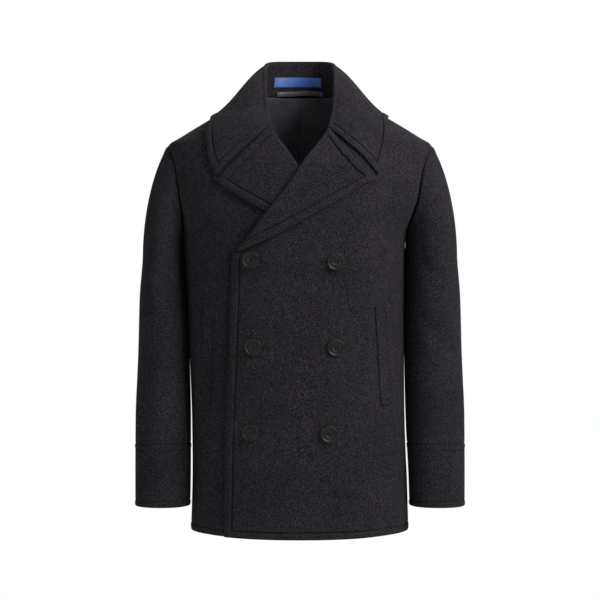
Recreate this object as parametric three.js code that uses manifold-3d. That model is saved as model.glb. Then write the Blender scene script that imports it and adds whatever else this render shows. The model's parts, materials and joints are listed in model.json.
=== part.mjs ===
// A hip-length double-breasted pea coat of thick wool, hanging hollow in the shape of a wearer.
// Millimetres. +Z is up, the front faces -Y and +X is the wearer's left.
// The origin is the nape: the inside of the back neck seam at the centre back.
import * as THREE from "three";
import { mergeVertices } from "three/addons/utils/BufferGeometryUtils.js";
import Module from "manifold-3d";

const wasm = await Module();
wasm.setup();

// Driving dimensions
const hemZ = -788;
const armpitZ = -255;
const shoulderZ = -95;
const neckTopZ = -5;
const breakZ = -297;
const bodyWall = 3;
const frontWall = 4;
const lapelWall = 4.2;
const collarWall = 3.6;
const standWall = 3;
const liningWall = 1;
const layerGap = 2.1;
const lapGap = 2;
const seamGap = 0.4;
const collarGap = 2;
const ridgeGap = 0.8;
const foldReach = 5.4;
const lapelStart = 9;
const seamShift = seamGap / 2;
const foldRadius = 2.6;
const standRise = 3.8;
const standSetIn = 1.2;
const hemRise = 4;
const liningEase = 1.8;
const pleatDepth = 3.5;

// Colours, roughness and metalness
const cloth = new THREE.MeshStandardMaterial({ color: 0x2f2c30, roughness: 0.95, metalness: 0 });
const lining = new THREE.MeshStandardMaterial({ color: 0x2a292f, roughness: 0.55, metalness: 0 });
const horn = new THREE.MeshStandardMaterial({ color: 0x262827, roughness: 0.4, metalness: 0 });
const ribbon = new THREE.MeshStandardMaterial({ color: 0x34568c, roughness: 0.7, metalness: 0 });

// The body's level rings, hem to neck. left and right are the half widths at the wearer's left
// and right, front, back and side are the depths, and square is the ring's squareness.
const bodyRings = [
  { z: -788, left: 196, right: 197, front: -224, back: 40, side: -92, square: 2.1 },
  { z: -700, left: 195, right: 196, front: -221, back: 40, side: -92, square: 2.2 },
  { z: -591, left: 191, right: 197, front: -218, back: 37, side: -92, square: 2.35 },
  { z: -465, left: 189, right: 201, front: -217, back: 27, side: -92, square: 2.35 },
  { z: -375, left: 188, right: 204, front: -220, back: 25, side: -92, square: 2.38 },
  { z: -300, left: 188, right: 208, front: -223, back: 29, side: -92, square: 2.4 },
  { z: -255, left: 192, right: 210, front: -222, back: 34, side: -91, square: 2.38 },
  { z: -225, left: 210, right: 220, front: -220, back: 36, side: -90, square: 2.34 },
  { z: -195, left: 226, right: 231, front: -215, back: 38, side: -88, square: 2.3 },
  { z: -150, left: 236, right: 239, front: -206, back: 38, side: -84, square: 2.18 },
  { z: -110, left: 240, right: 241, front: -190, back: 34.5, side: -80, square: 2.12 },
  { z: -95, left: 236, right: 236, front: -182.5, back: 32, side: -78, square: 2.2 },
  { z: -84, left: 218, right: 218, front: -176, back: 29.5, side: -76, square: 2.36 },
  { z: -72, left: 199, right: 199, front: -169, back: 26.5, side: -74, square: 2.5 },
  { z: -50, left: 163, right: 163, front: -154, back: 20, side: -70, square: 2.6 },
  { z: -20, left: 112, right: 112, front: -131, back: 10, side: -64, square: 2.4 },
  { z: 0, left: 81, right: 81, front: -112, back: 4.4, side: -60, square: 2.1 },
  { z: 30, left: 60, right: 60, front: -90, back: -4, side: -50, square: 2 },
];

// The largest soft folds of the hanging cloth: the angle round the body and the height of the
// middle, half the length and half the width, the lean from upright and the depth outwards.
const bodyFolds = [
  { around: -11, z: -450, long: 130, wide: 26, lean: 8, deep: -3.4 },
  { around: 9, z: -400, long: 120, wide: 24, lean: -6, deep: 2.6 },
  { around: 27, z: -470, long: 170, wide: 24, lean: -4, deep: -3.2 },
  { around: 44, z: -330, long: 110, wide: 20, lean: 24, deep: 2.6 },
  { around: -50, z: -620, long: 170, wide: 26, lean: 3, deep: -3 },
  { around: 2, z: -700, long: 110, wide: 40, lean: 0, deep: -2.6 },
  { around: 55, z: -690, long: 120, wide: 30, lean: -4, deep: 2.8 },
  { around: 88, z: -560, long: 220, wide: 26, lean: 2, deep: -4.5 },
  { around: -88, z: -560, long: 220, wide: 26, lean: -2, deep: -4.5 },
  { around: 118, z: -600, long: 230, wide: 26, lean: 3, deep: 4.5 },
  { around: -120, z: -620, long: 230, wide: 28, lean: -4, deep: 4 },
  { around: 146, z: -470, long: 240, wide: 26, lean: -5, deep: -4.5 },
  { around: -149, z: -500, long: 230, wide: 28, lean: 6, deep: -4 },
  { around: 166, z: -660, long: 150, wide: 24, lean: 2, deep: 3.6 },
  { around: -165, z: -640, long: 150, wide: 26, lean: -3, deep: 3.2 },
  { around: 142, z: -215, long: 90, wide: 22, lean: 34, deep: -3 },
  { around: -143, z: -225, long: 90, wide: 22, lean: -32, deep: -3 },
];

// The free edge of the top front below the break, as its x at each height
const topEdge = [
  { z: -788, x: -129 },
  { z: -591, x: -126 },
  { z: -465, x: -121 },
  { z: -375, x: -118 },
  { z: -297, x: -114 },
];
const underEdgeX = 86;

// Where each lapel rolls, from the break up to the neck, as its x at each height
const topRoll = [
  { z: -297, x: -113 },
  { z: -283, x: -99 },
  { z: -232, x: -60 },
  { z: -183, x: -21 },
  { z: -145, x: 4 },
  { z: -122, x: 21 },
  { z: -94, x: 40 },
  { z: -77, x: 50 },
];
const underRoll = [
  { z: -297, x: 85 },
  { z: -230, x: 46 },
  { z: -145, x: -4 },
  { z: -113, x: -25 },
  { z: -88, x: -43 },
  { z: -73, x: -51 },
];

// The outer edge of each lapel, from the break to its corner
const topLapelEdge = [
  { part: 0, x: -104, z: -293 },
  { part: 0.15, x: -72, z: -279 },
  { part: 0.4, x: -8, z: -246 },
  { part: 0.7, x: 62, z: -207 },
  { part: 0.92, x: 119, z: -172 },
  { part: 1, x: 132, z: -167 },
];
const underLapelEdge = [
  { part: 0, x: 76, z: -294 },
  { part: 0.3, x: 16, z: -264 },
  { part: 0.6, x: -56, z: -224 },
  { part: 0.92, x: -133, z: -177 },
  { part: 1, x: -144.5, z: -167 },
];

// The neck seam from the centre back (0) to the end of the collar (1)
const neckSeam = [
  { part: 0, around: 180, z: 0 },
  { part: 0.25, around: 139, z: 0 },
  { part: 0.5, around: 90, z: -3 },
  { part: 0.6, around: 70, z: -9 },
  { part: 0.7, around: 54, z: -18 },
  { part: 0.8, around: 41, z: -30 },
  { part: 0.9, around: 30, z: -49 },
  { part: 1, around: 23, z: -70 },
];

// The fold at the top of the collar, centre back to its end, and the way its fall faces there
const collarRoll = [
  { part: 0, x: 0, y: 6, z: 66, faceX: 0, faceY: 1, faceZ: 0 },
  { part: 0.1, x: 22, y: 3, z: 65.5, faceX: 0.3, faceY: 0.95, faceZ: 0 },
  { part: 0.2, x: 41, y: -7, z: 64, faceX: 0.62, faceY: 0.78, faceZ: 0 },
  { part: 0.3, x: 54, y: -22, z: 61, faceX: 0.88, faceY: 0.47, faceZ: 0 },
  { part: 0.4, x: 61, y: -41, z: 55.5, faceX: 0.98, faceY: 0.15, faceZ: 0 },
  { part: 0.5, x: 63.5, y: -62, z: 46, faceX: 1, faceY: -0.1, faceZ: -0.05 },
  { part: 0.6, x: 63, y: -84, z: 31, faceX: 0.95, faceY: -0.3, faceZ: 0 },
  { part: 0.7, x: 62, y: -105, z: 10, faceX: 0.8, faceY: -0.6, faceZ: 0.05 },
  { part: 0.8, x: 60.5, y: -125, z: -14, faceX: 0.6, faceY: -0.78, faceZ: 0.15 },
  { part: 0.9, x: 57, y: -145, z: -45, faceX: 0.4, faceY: -0.9, faceZ: 0.2 },
];

// The collar's outer edge on the shoulders: its angle round the body, on the wearer's left and
// right, and its height
const collarEdge = [
  { part: 0, left: 180, right: 180, z: -22 },
  { part: 0.1, left: 165, right: 165, z: -25 },
  { part: 0.2, left: 149, right: 149, z: -31 },
  { part: 0.3, left: 132, right: 132, z: -37.5 },
  { part: 0.4, left: 112, right: 112, z: -43 },
  { part: 0.5, left: 89, right: 89, z: -46 },
  { part: 0.6, left: 60, right: 63, z: -56 },
  { part: 0.7, left: 46, right: 50, z: -75 },
  { part: 0.8, left: 38.5, right: 41.5, z: -100 },
  { part: 0.9, left: 36, right: 39.5, z: -131 },
  { part: 1, left: 32.5, right: 35.6, z: -159 },
];

// The sleeve's level rings below the armhole: outer is its far side, innerLeft and innerRight
// the sides by the body, front and back its depths.
const sleeveRings = [
  { z: -300, outer: 282, innerLeft: 194, innerRight: 212.5, front: -164, back: -14 },
  { z: -375, outer: 288, innerLeft: 194, innerRight: 209.5, front: -163, back: -16 },
  { z: -465, outer: 290, innerLeft: 196, innerRight: 207, front: -164, back: -24 },
  { z: -591, outer: 294, innerLeft: 198, innerRight: 204.5, front: -166, back: -44 },
  { z: -640, outer: 294, innerLeft: 200, innerRight: 203.5, front: -167, back: -52 },
  { z: -740, outer: 293.5, innerLeft: 202, innerRight: 203, front: -169, back: -62 },
];
const cuffTopZ = -640;
const cuffZ = -740;
const sleeveSquare = 2.2;

// Soft folds of the sleeves, by the angle round the sleeve from its outer side to the front
const sleeveFolds = [
  { around: 120, z: -300, long: 70, wide: 13, lean: 38, deep: -3 },
  { around: 60, z: -350, long: 80, wide: 16, lean: -28, deep: 2.4 },
  { around: 95, z: -430, long: 70, wide: 12, lean: 42, deep: -3.2 },
  { around: 250, z: -440, long: 70, wide: 14, lean: -40, deep: -3.4 },
  { around: 285, z: -480, long: 70, wide: 14, lean: -36, deep: 3 },
  { around: 262, z: -520, long: 60, wide: 12, lean: -40, deep: -3 },
  { around: 60, z: -540, long: 110, wide: 18, lean: 6, deep: -2.6 },
  { around: 300, z: -250, long: 70, wide: 14, lean: 20, deep: -2.6 },
];

// Armhole: how far it opens round the body, to the front and the back of the side
const armholeFront = 25;
const armholeBack = 23;
const armholeRound = 2.3;

// Pockets: a welt on each front, from its top corner by the slit to its bottom corner
const pocketWelts = [
  { name: "pocket_welt_left", side: 1, topX: 144, topZ: -385, bottomX: 156, bottomZ: -558 },
  { name: "pocket_welt_right", side: -1, topX: 166, topZ: -385, bottomX: 174, bottomZ: -557 },
];
const weltWidth = 16;
const weltWall = 2;
const weltGap = 0.6;

// Buttons, as the front view shows them
const buttonRadius = 15;
const buttonHeight = 4;
const buttonHole = 1.1;
const buttonHoleOut = 2.6;
const buttonGap = 0.8;
const buttonSides = 16;
const buttons = [
  { name: "button_left_top", x: 59, z: -309 },
  { name: "button_left_middle", x: 60, z: -457 },
  { name: "button_left_bottom", x: 49, z: -606 },
  { name: "button_right_top", x: -82, z: -306 },
  { name: "button_right_middle", x: -80, z: -456 },
  { name: "button_right_bottom", x: -84, z: -604 },
];

// Label and hanger loop inside the back of the collar
const labelLeft = -49;
const labelRight = 40;
const labelLow = 19;
const labelHigh = 37;
const labelWall = 0.7;
const loopReach = 45;
const loopLow = 1.5;
const loopHigh = 10.5;
const loopWall = 1.4;
const loopBow = 4;

const vec = (x, y, z) => new THREE.Vector3(x, y, z);
const degrees = Math.PI / 180;
const clamp = (v, low, high) => Math.min(high, Math.max(low, v));
const mix = (a, b, t) => a + (b - a) * t;
const steps = (from, to, count) => Array.from({ length: count + 1 }, (_, i) => mix(from, to, i / count));

function ease(from, to, v) {
  const t = clamp((v - from) / (to - from), 0, 1);
  return t * t * (3 - 2 * t);
}

// A smooth curve through one column of a table, with no overshoot between its rows
function curve(table, by, key) {
  const at = table.map((row) => row[by]);
  const value = table.map((row) => row[key]);
  const slope = at.slice(1).map((a, i) => (value[i + 1] - value[i]) / (a - at[i]));
  const turn = at.map((_, i) => {
    const before = slope[Math.max(i - 1, 0)];
    const after = slope[Math.min(i, slope.length - 1)];
    return before * after > 0 ? (2 * before * after) / (before + after) : 0;
  });
  return (v) => {
    const x = clamp(v, Math.min(at[0], at.at(-1)), Math.max(at[0], at.at(-1)));
    let i = 0;
    while (i < at.length - 2 && (at[1] > at[0] ? x > at[i + 1] : x < at[i + 1])) i++;
    const h = at[i + 1] - at[i];
    const t = (x - at[i]) / h;
    return (
      (2 * t ** 3 - 3 * t ** 2 + 1) * value[i] +
      (t ** 3 - 2 * t ** 2 + t) * h * turn[i] +
      (3 * t ** 2 - 2 * t ** 3) * value[i + 1] +
      (t ** 3 - t ** 2) * h * turn[i + 1]
    );
  };
}

const columns = (table, by, keys) => Object.fromEntries(keys.map((key) => [key, curve(table, by, key)]));
const ring = columns(bodyRings, "z", ["left", "right", "front", "back", "side", "square"]);
const sleeveRing = columns(sleeveRings, "z", ["outer", "innerLeft", "innerRight", "front", "back"]);

// How far the folds in a table move the cloth out at a place given by distance round and height
function foldDepth(folds, around, z, perDegree) {
  return folds.reduce((sum, fold) => {
    const across = wrapped(around - fold.around) * perDegree;
    const lean = fold.lean * degrees;
    const side = across * Math.cos(lean) - (z - fold.z) * Math.sin(lean);
    const along = across * Math.sin(lean) + (z - fold.z) * Math.cos(lean);
    return sum + fold.deep * Math.exp(-((side / fold.wide) ** 2) - (along / fold.long) ** 2);
  }, 0);
}

function wrapped(angle) {
  return ((((angle + 180) % 360) + 360) % 360) - 180;
}

const bodyPerDegree = 2.9;
const quietNeck = (z) => 1 - ease(-150, -100, z);
const drape = (around, z) => foldDepth(bodyFolds, around, z, bodyPerDegree) * quietNeck(z);

// The bare body form: around is 0 at the front centre, 90 at the wearer's left, 180 at the back
function bare(around, z) {
  const s = Math.sin(around * degrees);
  const c = Math.cos(around * degrees);
  const power = 2 / ring.square(z);
  const half = s > 0 ? ring.left(z) : ring.right(z);
  const deep = c > 0 ? ring.front(z) - ring.side(z) : ring.back(z) - ring.side(z);
  const x = Math.sign(s) * half * Math.abs(s) ** power;
  return vec(x, ring.side(z) + deep * Math.abs(c) ** power, z);
}

function formNormal(around, z) {
  const turn = bare(around + 0.7, z).sub(bare(around - 0.7, z));
  const rise = bare(around, z + 2).sub(bare(around, z - 2));
  return turn.cross(rise).normalize();
}

// A point of the draped cloth, moved out from it
function formPoint(around, z, out = 0) {
  return bare(around, z).addScaledVector(formNormal(around, z), drape(around, z) + out);
}

// The angle round the front of the body at an x of the front view
function aroundAt(x, z) {
  const half = x > 0 ? ring.left(z) : ring.right(z);
  const angle = Math.asin(Math.min(1, (Math.abs(x) / half) ** (ring.square(z) / 2))) / degrees;
  return Math.sign(x) * angle;
}

// How high the top front's outer face stands over the body form, where it laps the other front
function topCover(x, z) {
  const low = 1 - ease(-150, -70, z);
  const stack = (lapelWall + layerGap) * ease(-345, -303, z);
  return (frontWall + lapGap + stack) * low * (1 - ease(90, 165, x));
}
const coverOf = (side, x, z) => (side > 0 ? topCover(x, z) : 0);
const frontPoint = (side, x, z, out) => formPoint(aroundAt(x, z), z, coverOf(side, x, z) + out);

// How far a point lies outside the body form, and the way out
function clearance(p) {
  const size = (q) => {
    const half = q.x > 0 ? ring.left(q.z) : ring.right(q.z);
    const deep = q.y < ring.side(q.z) ? ring.side(q.z) - ring.front(q.z) : ring.back(q.z) - ring.side(q.z);
    const n = ring.square(q.z);
    return ((Math.abs(q.x) / half) ** n + (Math.abs(q.y - ring.side(q.z)) / deep) ** n) ** (1 / n);
  };
  const d = 0.5;
  const way = vec(
    size(vec(p.x + d, p.y, p.z)) - size(vec(p.x - d, p.y, p.z)),
    size(vec(p.x, p.y + d, p.z)) - size(vec(p.x, p.y - d, p.z)),
    size(vec(p.x, p.y, p.z + d)) - size(vec(p.x, p.y, p.z - d)),
  ).divideScalar(2 * d);
  const steep = way.length();
  return { gap: (size(p) - 1) / steep, way: way.divideScalar(steep) };
}

function pushOut(p, least) {
  for (let i = 0; i < 5; i++) {
    const { gap, way } = clearance(p);
    if (gap < least) p.addScaledVector(way, least - gap);
  }
  return p;
}

// A closed wall between two faces of points, row by row. wrap joins its last column to its first.
function wall(outer, inner, wrap = false) {
  const rows = outer.length;
  const cols = outer[0].length;
  const at = (layer, r, c) => (layer * rows + r) * cols + (c % cols);
  const index = [];
  const quad = (a, b, c, d) => index.push(a, b, c, a, c, d);
  const spans = wrap ? cols : cols - 1;
  const last = rows - 1;
  for (let c = 0; c < spans; c++) {
    for (let r = 0; r < last; r++) {
      quad(at(0, r, c), at(0, r, c + 1), at(0, r + 1, c + 1), at(0, r + 1, c));
      quad(at(1, r, c), at(1, r + 1, c), at(1, r + 1, c + 1), at(1, r, c + 1));
    }
    quad(at(0, 0, c), at(1, 0, c), at(1, 0, c + 1), at(0, 0, c + 1));
    quad(at(0, last, c), at(0, last, c + 1), at(1, last, c + 1), at(1, last, c));
  }
  for (let r = 0; r < last && !wrap; r++) {
    quad(at(0, r, 0), at(0, r + 1, 0), at(1, r + 1, 0), at(1, r, 0));
    quad(at(0, r, spans), at(1, r, spans), at(1, r + 1, spans), at(0, r + 1, spans));
  }
  const points = [...outer.flat(), ...inner.flat()];
  let volume = 0;
  for (let i = 0; i < index.length; i += 3) {
    const [a, b, c] = [0, 1, 2].map((k) => points[index[i + k]]);
    volume += a.dot(b.clone().cross(c));
  }
  if (volume < 0) index.reverse();
  const geometry = new THREE.BufferGeometry().setFromPoints(points);
  return geometry.setIndex(index);
}

// Walls of cloth whose middle is known, with the way each point faces
function wallOn(middle, facing, thick) {
  const half = (sign) => middle.map((row, r) =>
    row.map((p, c) => p.clone().addScaledVector(facing[r][c], (sign * thick(r, c)) / 2)));
  return wall(half(1), half(-1));
}

// The armhole's edge on the body: turn is 0 at the shoulder, 90 at the front, 180 at the armpit
function armhole(turn) {
  const c = Math.cos(turn * degrees);
  const open = Math.sin(turn * degrees) >= 0 ? armholeFront : -armholeBack;
  const z = (armpitZ + shoulderZ) / 2 + ((shoulderZ - armpitZ) / 2) * c;
  return { z, around: 90 - open * Math.sqrt(Math.max(0, 1 - Math.abs(c) ** armholeRound)) };
}

const backColumns = 8;
const armholeTurns = steps(180, 0, 10);
const bodyRows = [hemZ, -730, -660, -590, -520, -450, -390, -340, breakZ, breakZ + 5, -274];
const shoulderRows = [-80, -65, -50, -35, -20, neckTopZ];

// Height and side limit, as an angle, of each row of a front
const frontRows = [
  ...bodyRows.map((z) => ({ z, limit: 90 })),
  ...armholeTurns.map((turn) => ({ z: armhole(turn).z, limit: armhole(turn).around })),
  ...shoulderRows.map((z) => ({ z, limit: 90 })),
];

// A line of the front view moved sideways towards the coat's side, so that a fold fits there
function besideLine(table, side, reach) {
  const x = curve(table, "z", "x");
  return (z) => {
    const slope = (x(z + 2) - x(z - 2)) / 4;
    return x(z) + side * reach * Math.hypot(1, slope);
  };
}

const seamPart = neckSeam.filter((row) => row.part >= 0.5).map((row) => ({ z: row.z, around: row.around }));
const neckAround = curve(seamPart, "z", "around");

const fronts = {
  front_left: {
    side: 1,
    edge: curve(topEdge, "z", "x"),
    roll: besideLine(topRoll, 1, foldReach),
    rollTop: topRoll.at(-1).z,
  },
  front_right: {
    side: -1,
    edge: () => underEdgeX,
    roll: besideLine(underRoll, -1, foldReach),
    rollTop: underRoll.at(-1).z,
  },
};

// How far the hem curves up towards the coat's sides
const hemLift = (around, z) => hemRise * Math.sin(around * degrees) ** 2 * (1 - ease(hemZ, hemZ + 50, z));

function frontGrid(side, front, thin) {
  const count = 11;
  return frontRows.map(({ z, limit }) => {
    const rolled = z > breakZ ? front.roll(z) : front.edge(z);
    const start = z > front.rollTop ? side * neckAround(z) : aroundAt(rolled, z);
    return steps(start, side * limit, count).map((around, c) => {
      const x = bare(around, z).x;
      const thick = mix(bodyWall, frontWall, 1 - ease(90, 165, side * x));
      const p = formPoint(around, z, coverOf(side, x, z) - (thin ? thick : 0));
      p.z += hemLift(around, z);
      if (c === count && limit === 90) p.y -= seamShift;
      return p;
    });
  });
}

function frontPanel(name) {
  const { side, ...front } = fronts[name];
  return wall(frontGrid(side, front, false), frontGrid(side, front, true));
}

// The height and side limit, as an angle, of each row of a back
const backRows = frontRows.map(({ z, limit }, r) => {
  const turn = armholeTurns[r - bodyRows.length];
  return { z, limit: turn === undefined ? limit : armhole(-turn).around };
});
const seamHeight = curve(neckSeam.slice(0, 3), "part", "z");

// A point of the back: rows above the shoulder tip rise to meet the neck seam
function backPoint({ z, limit }, side, across, out) {
  const around = mix(limit, 180, across);
  const top = seamHeight(((180 - around) / 90) * 0.5);
  const height = z > shoulderZ ? mix(shoulderZ, top, (z - shoulderZ) / (neckTopZ - shoulderZ)) : z;
  return formPoint(side * around, height, out);
}

function backPanel(side) {
  const face = (out) => backRows.map((row) => steps(0, 1, backColumns).map((across, c) => {
    const p = backPoint(row, side, across, out);
    p.z += hemLift(mix(row.limit, 180, across), row.z);
    if (c === 0 && row.limit === 90) p.y += seamShift;
    if (c === backColumns) p.x = side * seamShift;
    return p;
  }));
  return wall(face(0), face(-bodyWall));
}

// The lining of the back, hanging just inside both back panels, with its centre pleat
function backLining() {
  const rows = backRows.filter((_, r) => r > 0 && (r % 2 === 0 || r === backRows.length - 1));
  const half = [1, 3, 5, 7].map((c) => c / backColumns);
  const leftHalf = [...half, 0.97].map((t) => [1, t]);
  const across = [...leftHalf, [1, 1], ...leftHalf.toReversed().map(([, t]) => [-1, t])];
  const face = (out) => rows.map((row) => across.map(([side, t]) => {
    const pleat = t === 1 ? pleatDepth * ease(-3, -40, row.z) : 0;
    const loose = liningEase * ease(-15, -60, row.z);
    return backPoint(row, side, t, out - pleat - loose);
  }));
  const outside = -(bodyWall + seamGap);
  return wall(face(outside), face(outside - liningWall));
}

function sleeveRingPoint(side, turn, z) {
  const inner = side > 0 ? sleeveRing.innerLeft(z) : sleeveRing.innerRight(z);
  const c = Math.cos(turn * degrees);
  const s = Math.sin(turn * degrees);
  const power = 2 / sleeveSquare;
  const halfWide = (sleeveRing.outer(z) - inner) / 2;
  const halfDeep = (sleeveRing.back(z) - sleeveRing.front(z)) / 2;
  const middleY = (sleeveRing.back(z) + sleeveRing.front(z)) / 2;
  const away = 1 + foldDepth(sleeveFolds, turn, z, 1) / 60;
  const x = inner + halfWide + halfWide * Math.sign(c) * Math.abs(c) ** power * (c > 0 ? away : 1);
  return vec(side * x, middleY - halfDeep * Math.sign(s) * Math.abs(s) ** power * away, z);
}

// The outer face of a sleeve: from the armhole over the cap, and down in level rings
function sleeveFace(side, turns) {
  const capRows = [0, 0.1, 0.22, 0.36, 0.52, 0.7, 0.86, 1];
  const capZ = sleeveRings[0].z;
  const cap = capRows.map((t) => turns.map((turn) => {
    const hole = armhole(turn > 180 ? turn - 360 : turn);
    const start = formPoint(side * hole.around, hole.z);
    start.x += side * seamGap;
    const end = sleeveRingPoint(side, turn, capZ);
    const c = Math.cos(turn * degrees);
    const reach = start.distanceTo(end);
    const outwards = side * (0.2 + 0.36 * Math.sqrt(0.5 + 0.5 * c));
    const away = vec(outwards, -0.3 * Math.sin(turn * degrees), -0.9 + 0.1 * c);
    const points = [start, start.clone().addScaledVector(away.normalize(), 0.2 * reach),
      end.clone().add(vec(0, 0, 0.42 * reach)), end];
    return new THREE.CubicBezierCurve3(...points).getPoint(t);
  }));
  const rings = [-340, -385, -430, -475, -520, -565, -605, cuffTopZ].map((z) =>
    turns.map((turn) => sleeveRingPoint(side, turn, z)));
  return [...cap, ...rings];
}

// The inner face of a tube of cloth whose outer one turns forwards at its outer side
function insideOf(face, side, thick) {
  const count = face[0].length;
  const last = face.length - 1;
  return face.map((row, r) => row.map((p, c) => {
    const turn = row[(c + 1) % count].clone().sub(row[(c + count - 1) % count]);
    const down = face[Math.min(r + 1, last)][c].clone().sub(face[Math.max(r - 1, 0)][c]);
    return p.clone().addScaledVector(turn.cross(down).normalize(), -side * thick);
  }));
}

const sleeveTurns = [...armholeTurns.toReversed(), ...armholeTurns.slice(1, -1).map((turn) => 360 - turn)];

function sleeve(side) {
  const face = sleeveFace(side, sleeveTurns);
  return wall(face, insideOf(face, side, bodyWall), true);
}

function cuff(side) {
  const heights = steps(cuffTopZ - seamGap, cuffZ, 2);
  const face = heights.map((z) => sleeveTurns.map((turn) => sleeveRingPoint(side, turn, z)));
  return wall(face, insideOf(face, side, bodyWall), true);
}

// The section of a folded edge in the front view's terms: places across the roll and out of the cloth
function foldSection(side, roll, across, cover) {
  const low = cover - frontWall / 2;
  const high = cover + layerGap + lapelWall / 2;
  const radius = (high - low) / 2;
  const leg = [foldReach - 2 * seamGap, radius + 0.6].map((d) => ({ d, out: low, face: -90 }));
  const bend = steps(-90, 90, 6).map((face) => ({
    d: radius * (1 - Math.cos(face * degrees)),
    out: (low + high) / 2 + radius * Math.sin(face * degrees),
    face,
  }));
  return [...leg, ...bend].map(({ d, out, face }) => {
    const x = roll.x + across.x * d;
    const z = roll.z + across.z * d;
    const around = aroundAt(x, z);
    const beside = formPoint(aroundAt(x + across.x, z + across.z), z + across.z);
    const away = beside.sub(formPoint(around, z)).normalize();
    const facing = formNormal(around, z).multiplyScalar(Math.sin(face * degrees));
    facing.addScaledVector(away, -Math.cos(face * degrees)).normalize();
    return { point: formPoint(around, z, out), facing, x, z };
  });
}

function rollFrame(table, side, part) {
  const z = mix(table[0].z + lapelStart, table.at(-1).z, part);
  const at = curve(table, "z", "x");
  const slope = (at(z + 2) - at(z - 2)) / 4;
  const across = { x: side / Math.hypot(1, slope), z: (-side * slope) / Math.hypot(1, slope) };
  return { roll: { x: at(z), z }, across };
}

const lapels = {
  lapel_left: { side: 1, roll: topRoll, edge: topLapelEdge, bow: 12 },
  lapel_right: { side: -1, roll: underRoll, edge: underLapelEdge, bow: 1 },
};

// A lapel: the turned-back front, from under its roll, round the fold and out to its edge
function lapel(name) {
  const { side, roll: table, edge, bow } = lapels[name];
  const middle = [];
  const facing = [];
  const out = columns(edge, "part", ["x", "z"]);
  for (const part of steps(0, 1, 11)) {
    const { roll, across } = rollFrame(table, side, part);
    const section = foldSection(side, roll, across, coverOf(side, roll.x, roll.z));
    const from = section.at(-1);
    const plate = [0.12, 0.26, 0.42, 0.6, 0.8, 1].map((t) => {
      const sag = bow * Math.sin(Math.PI * t) * ease(0.6, 1, part);
      const x = mix(from.x, out.x(part), t);
      const z = mix(from.z, out.z(part), t) - sag - seamGap * ease(0.6, 1, part);
      return {
        point: frontPoint(side, x, z, layerGap + lapelWall / 2),
        facing: formNormal(aroundAt(x, z), z),
      };
    });
    middle.push([...section, ...plate].map((s) => s.point));
    facing.push([...section, ...plate].map((s) => s.facing));
  }
  return wallOn(middle, facing, () => lapelWall);
}

// A smooth line through points, by its place among them
function through(points) {
  const line = points.map((p) => p.clone());
  return (place) => {
    const i = Math.min(Math.floor(place), line.length - 2);
    const t = place - i;
    const [b, c] = [line[i], line[i + 1]];
    const a = line[i - 1] ?? b.clone().multiplyScalar(2).sub(c);
    const d = line[i + 2] ?? c.clone().multiplyScalar(2).sub(b);
    const m = c.clone().sub(a).multiplyScalar(0.5);
    const n = d.clone().sub(b).multiplyScalar(0.5);
    return b.clone().multiplyScalar(2 * t ** 3 - 3 * t ** 2 + 1)
      .addScaledVector(m, t ** 3 - 2 * t ** 2 + t)
      .addScaledVector(c, 3 * t ** 2 - 2 * t ** 3)
      .addScaledVector(n, t ** 3 - t ** 2);
  };
}

// How high the middle of the collar's fall lies over the coat, most of all over the shoulder's ridge
const collarLift = (part) => collarWall / 2 + collarGap + ridgeGap * Math.exp(-(((part - 0.48) / 0.12) ** 2));

// The collar's guides at its stations, from the wearer's right end round the neck to the left end
function collarGuides() {
  const seam = columns(neckSeam, "part", ["around", "z"]);
  const edge = columns(collarEdge, "part", ["left", "right", "z"]);
  const stations = [];
  for (let k = -10; k <= 10; k++) {
    const part = Math.abs(k) / 10;
    const side = k < 0 ? -1 : 1;
    const tip = rollFrame(side > 0 ? topRoll : underRoll, side, 1);
    const cover = coverOf(side, tip.roll.x, tip.roll.z);
    const section = foldSection(side, { x: tip.roll.x, z: tip.roll.z + 1.2 }, tip.across, cover);
    const around = side * (side > 0 ? edge.left(part) : edge.right(part));
    const x = bare(around, edge.z(part)).x;
    const lift = (Math.abs(around) < 90 ? coverOf(side, x, edge.z(part)) : 0) + collarLift(part);
    const outer = formPoint(around, edge.z(part), lift);
    if (part === 1) {
      const bend = section.slice(2);
      stations.push({ seam: section[0].point, roll: bend[3].point, outer, facing: bend.at(-1).facing });
      continue;
    }
    const { x: rollX, y, z, faceX, faceY, faceZ } = collarRoll[Math.round(part * 10)];
    const normal = formNormal(side * seam.around(part), seam.z(part));
    const base = formPoint(side * seam.around(part), seam.z(part), -bodyWall / 2);
    base.z += seamGap + 2.2 * Math.abs(normal.z) + standRise * ease(0.55, 0.75, part);
    base.addScaledVector(normal, -standSetIn * ease(0.55, 0.8, part));
    stations.push({
      seam: base,
      roll: vec(side * rollX, y, z),
      outer,
      facing: vec(side * faceX, faceY, faceZ).normalize(),
    });
  }
  return stations;
}

const guides = collarGuides();
const collarLines = Object.fromEntries(["seam", "roll", "outer", "facing"].map((key) =>
  [key, through(guides.map((g) => g[key]))]));

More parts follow.
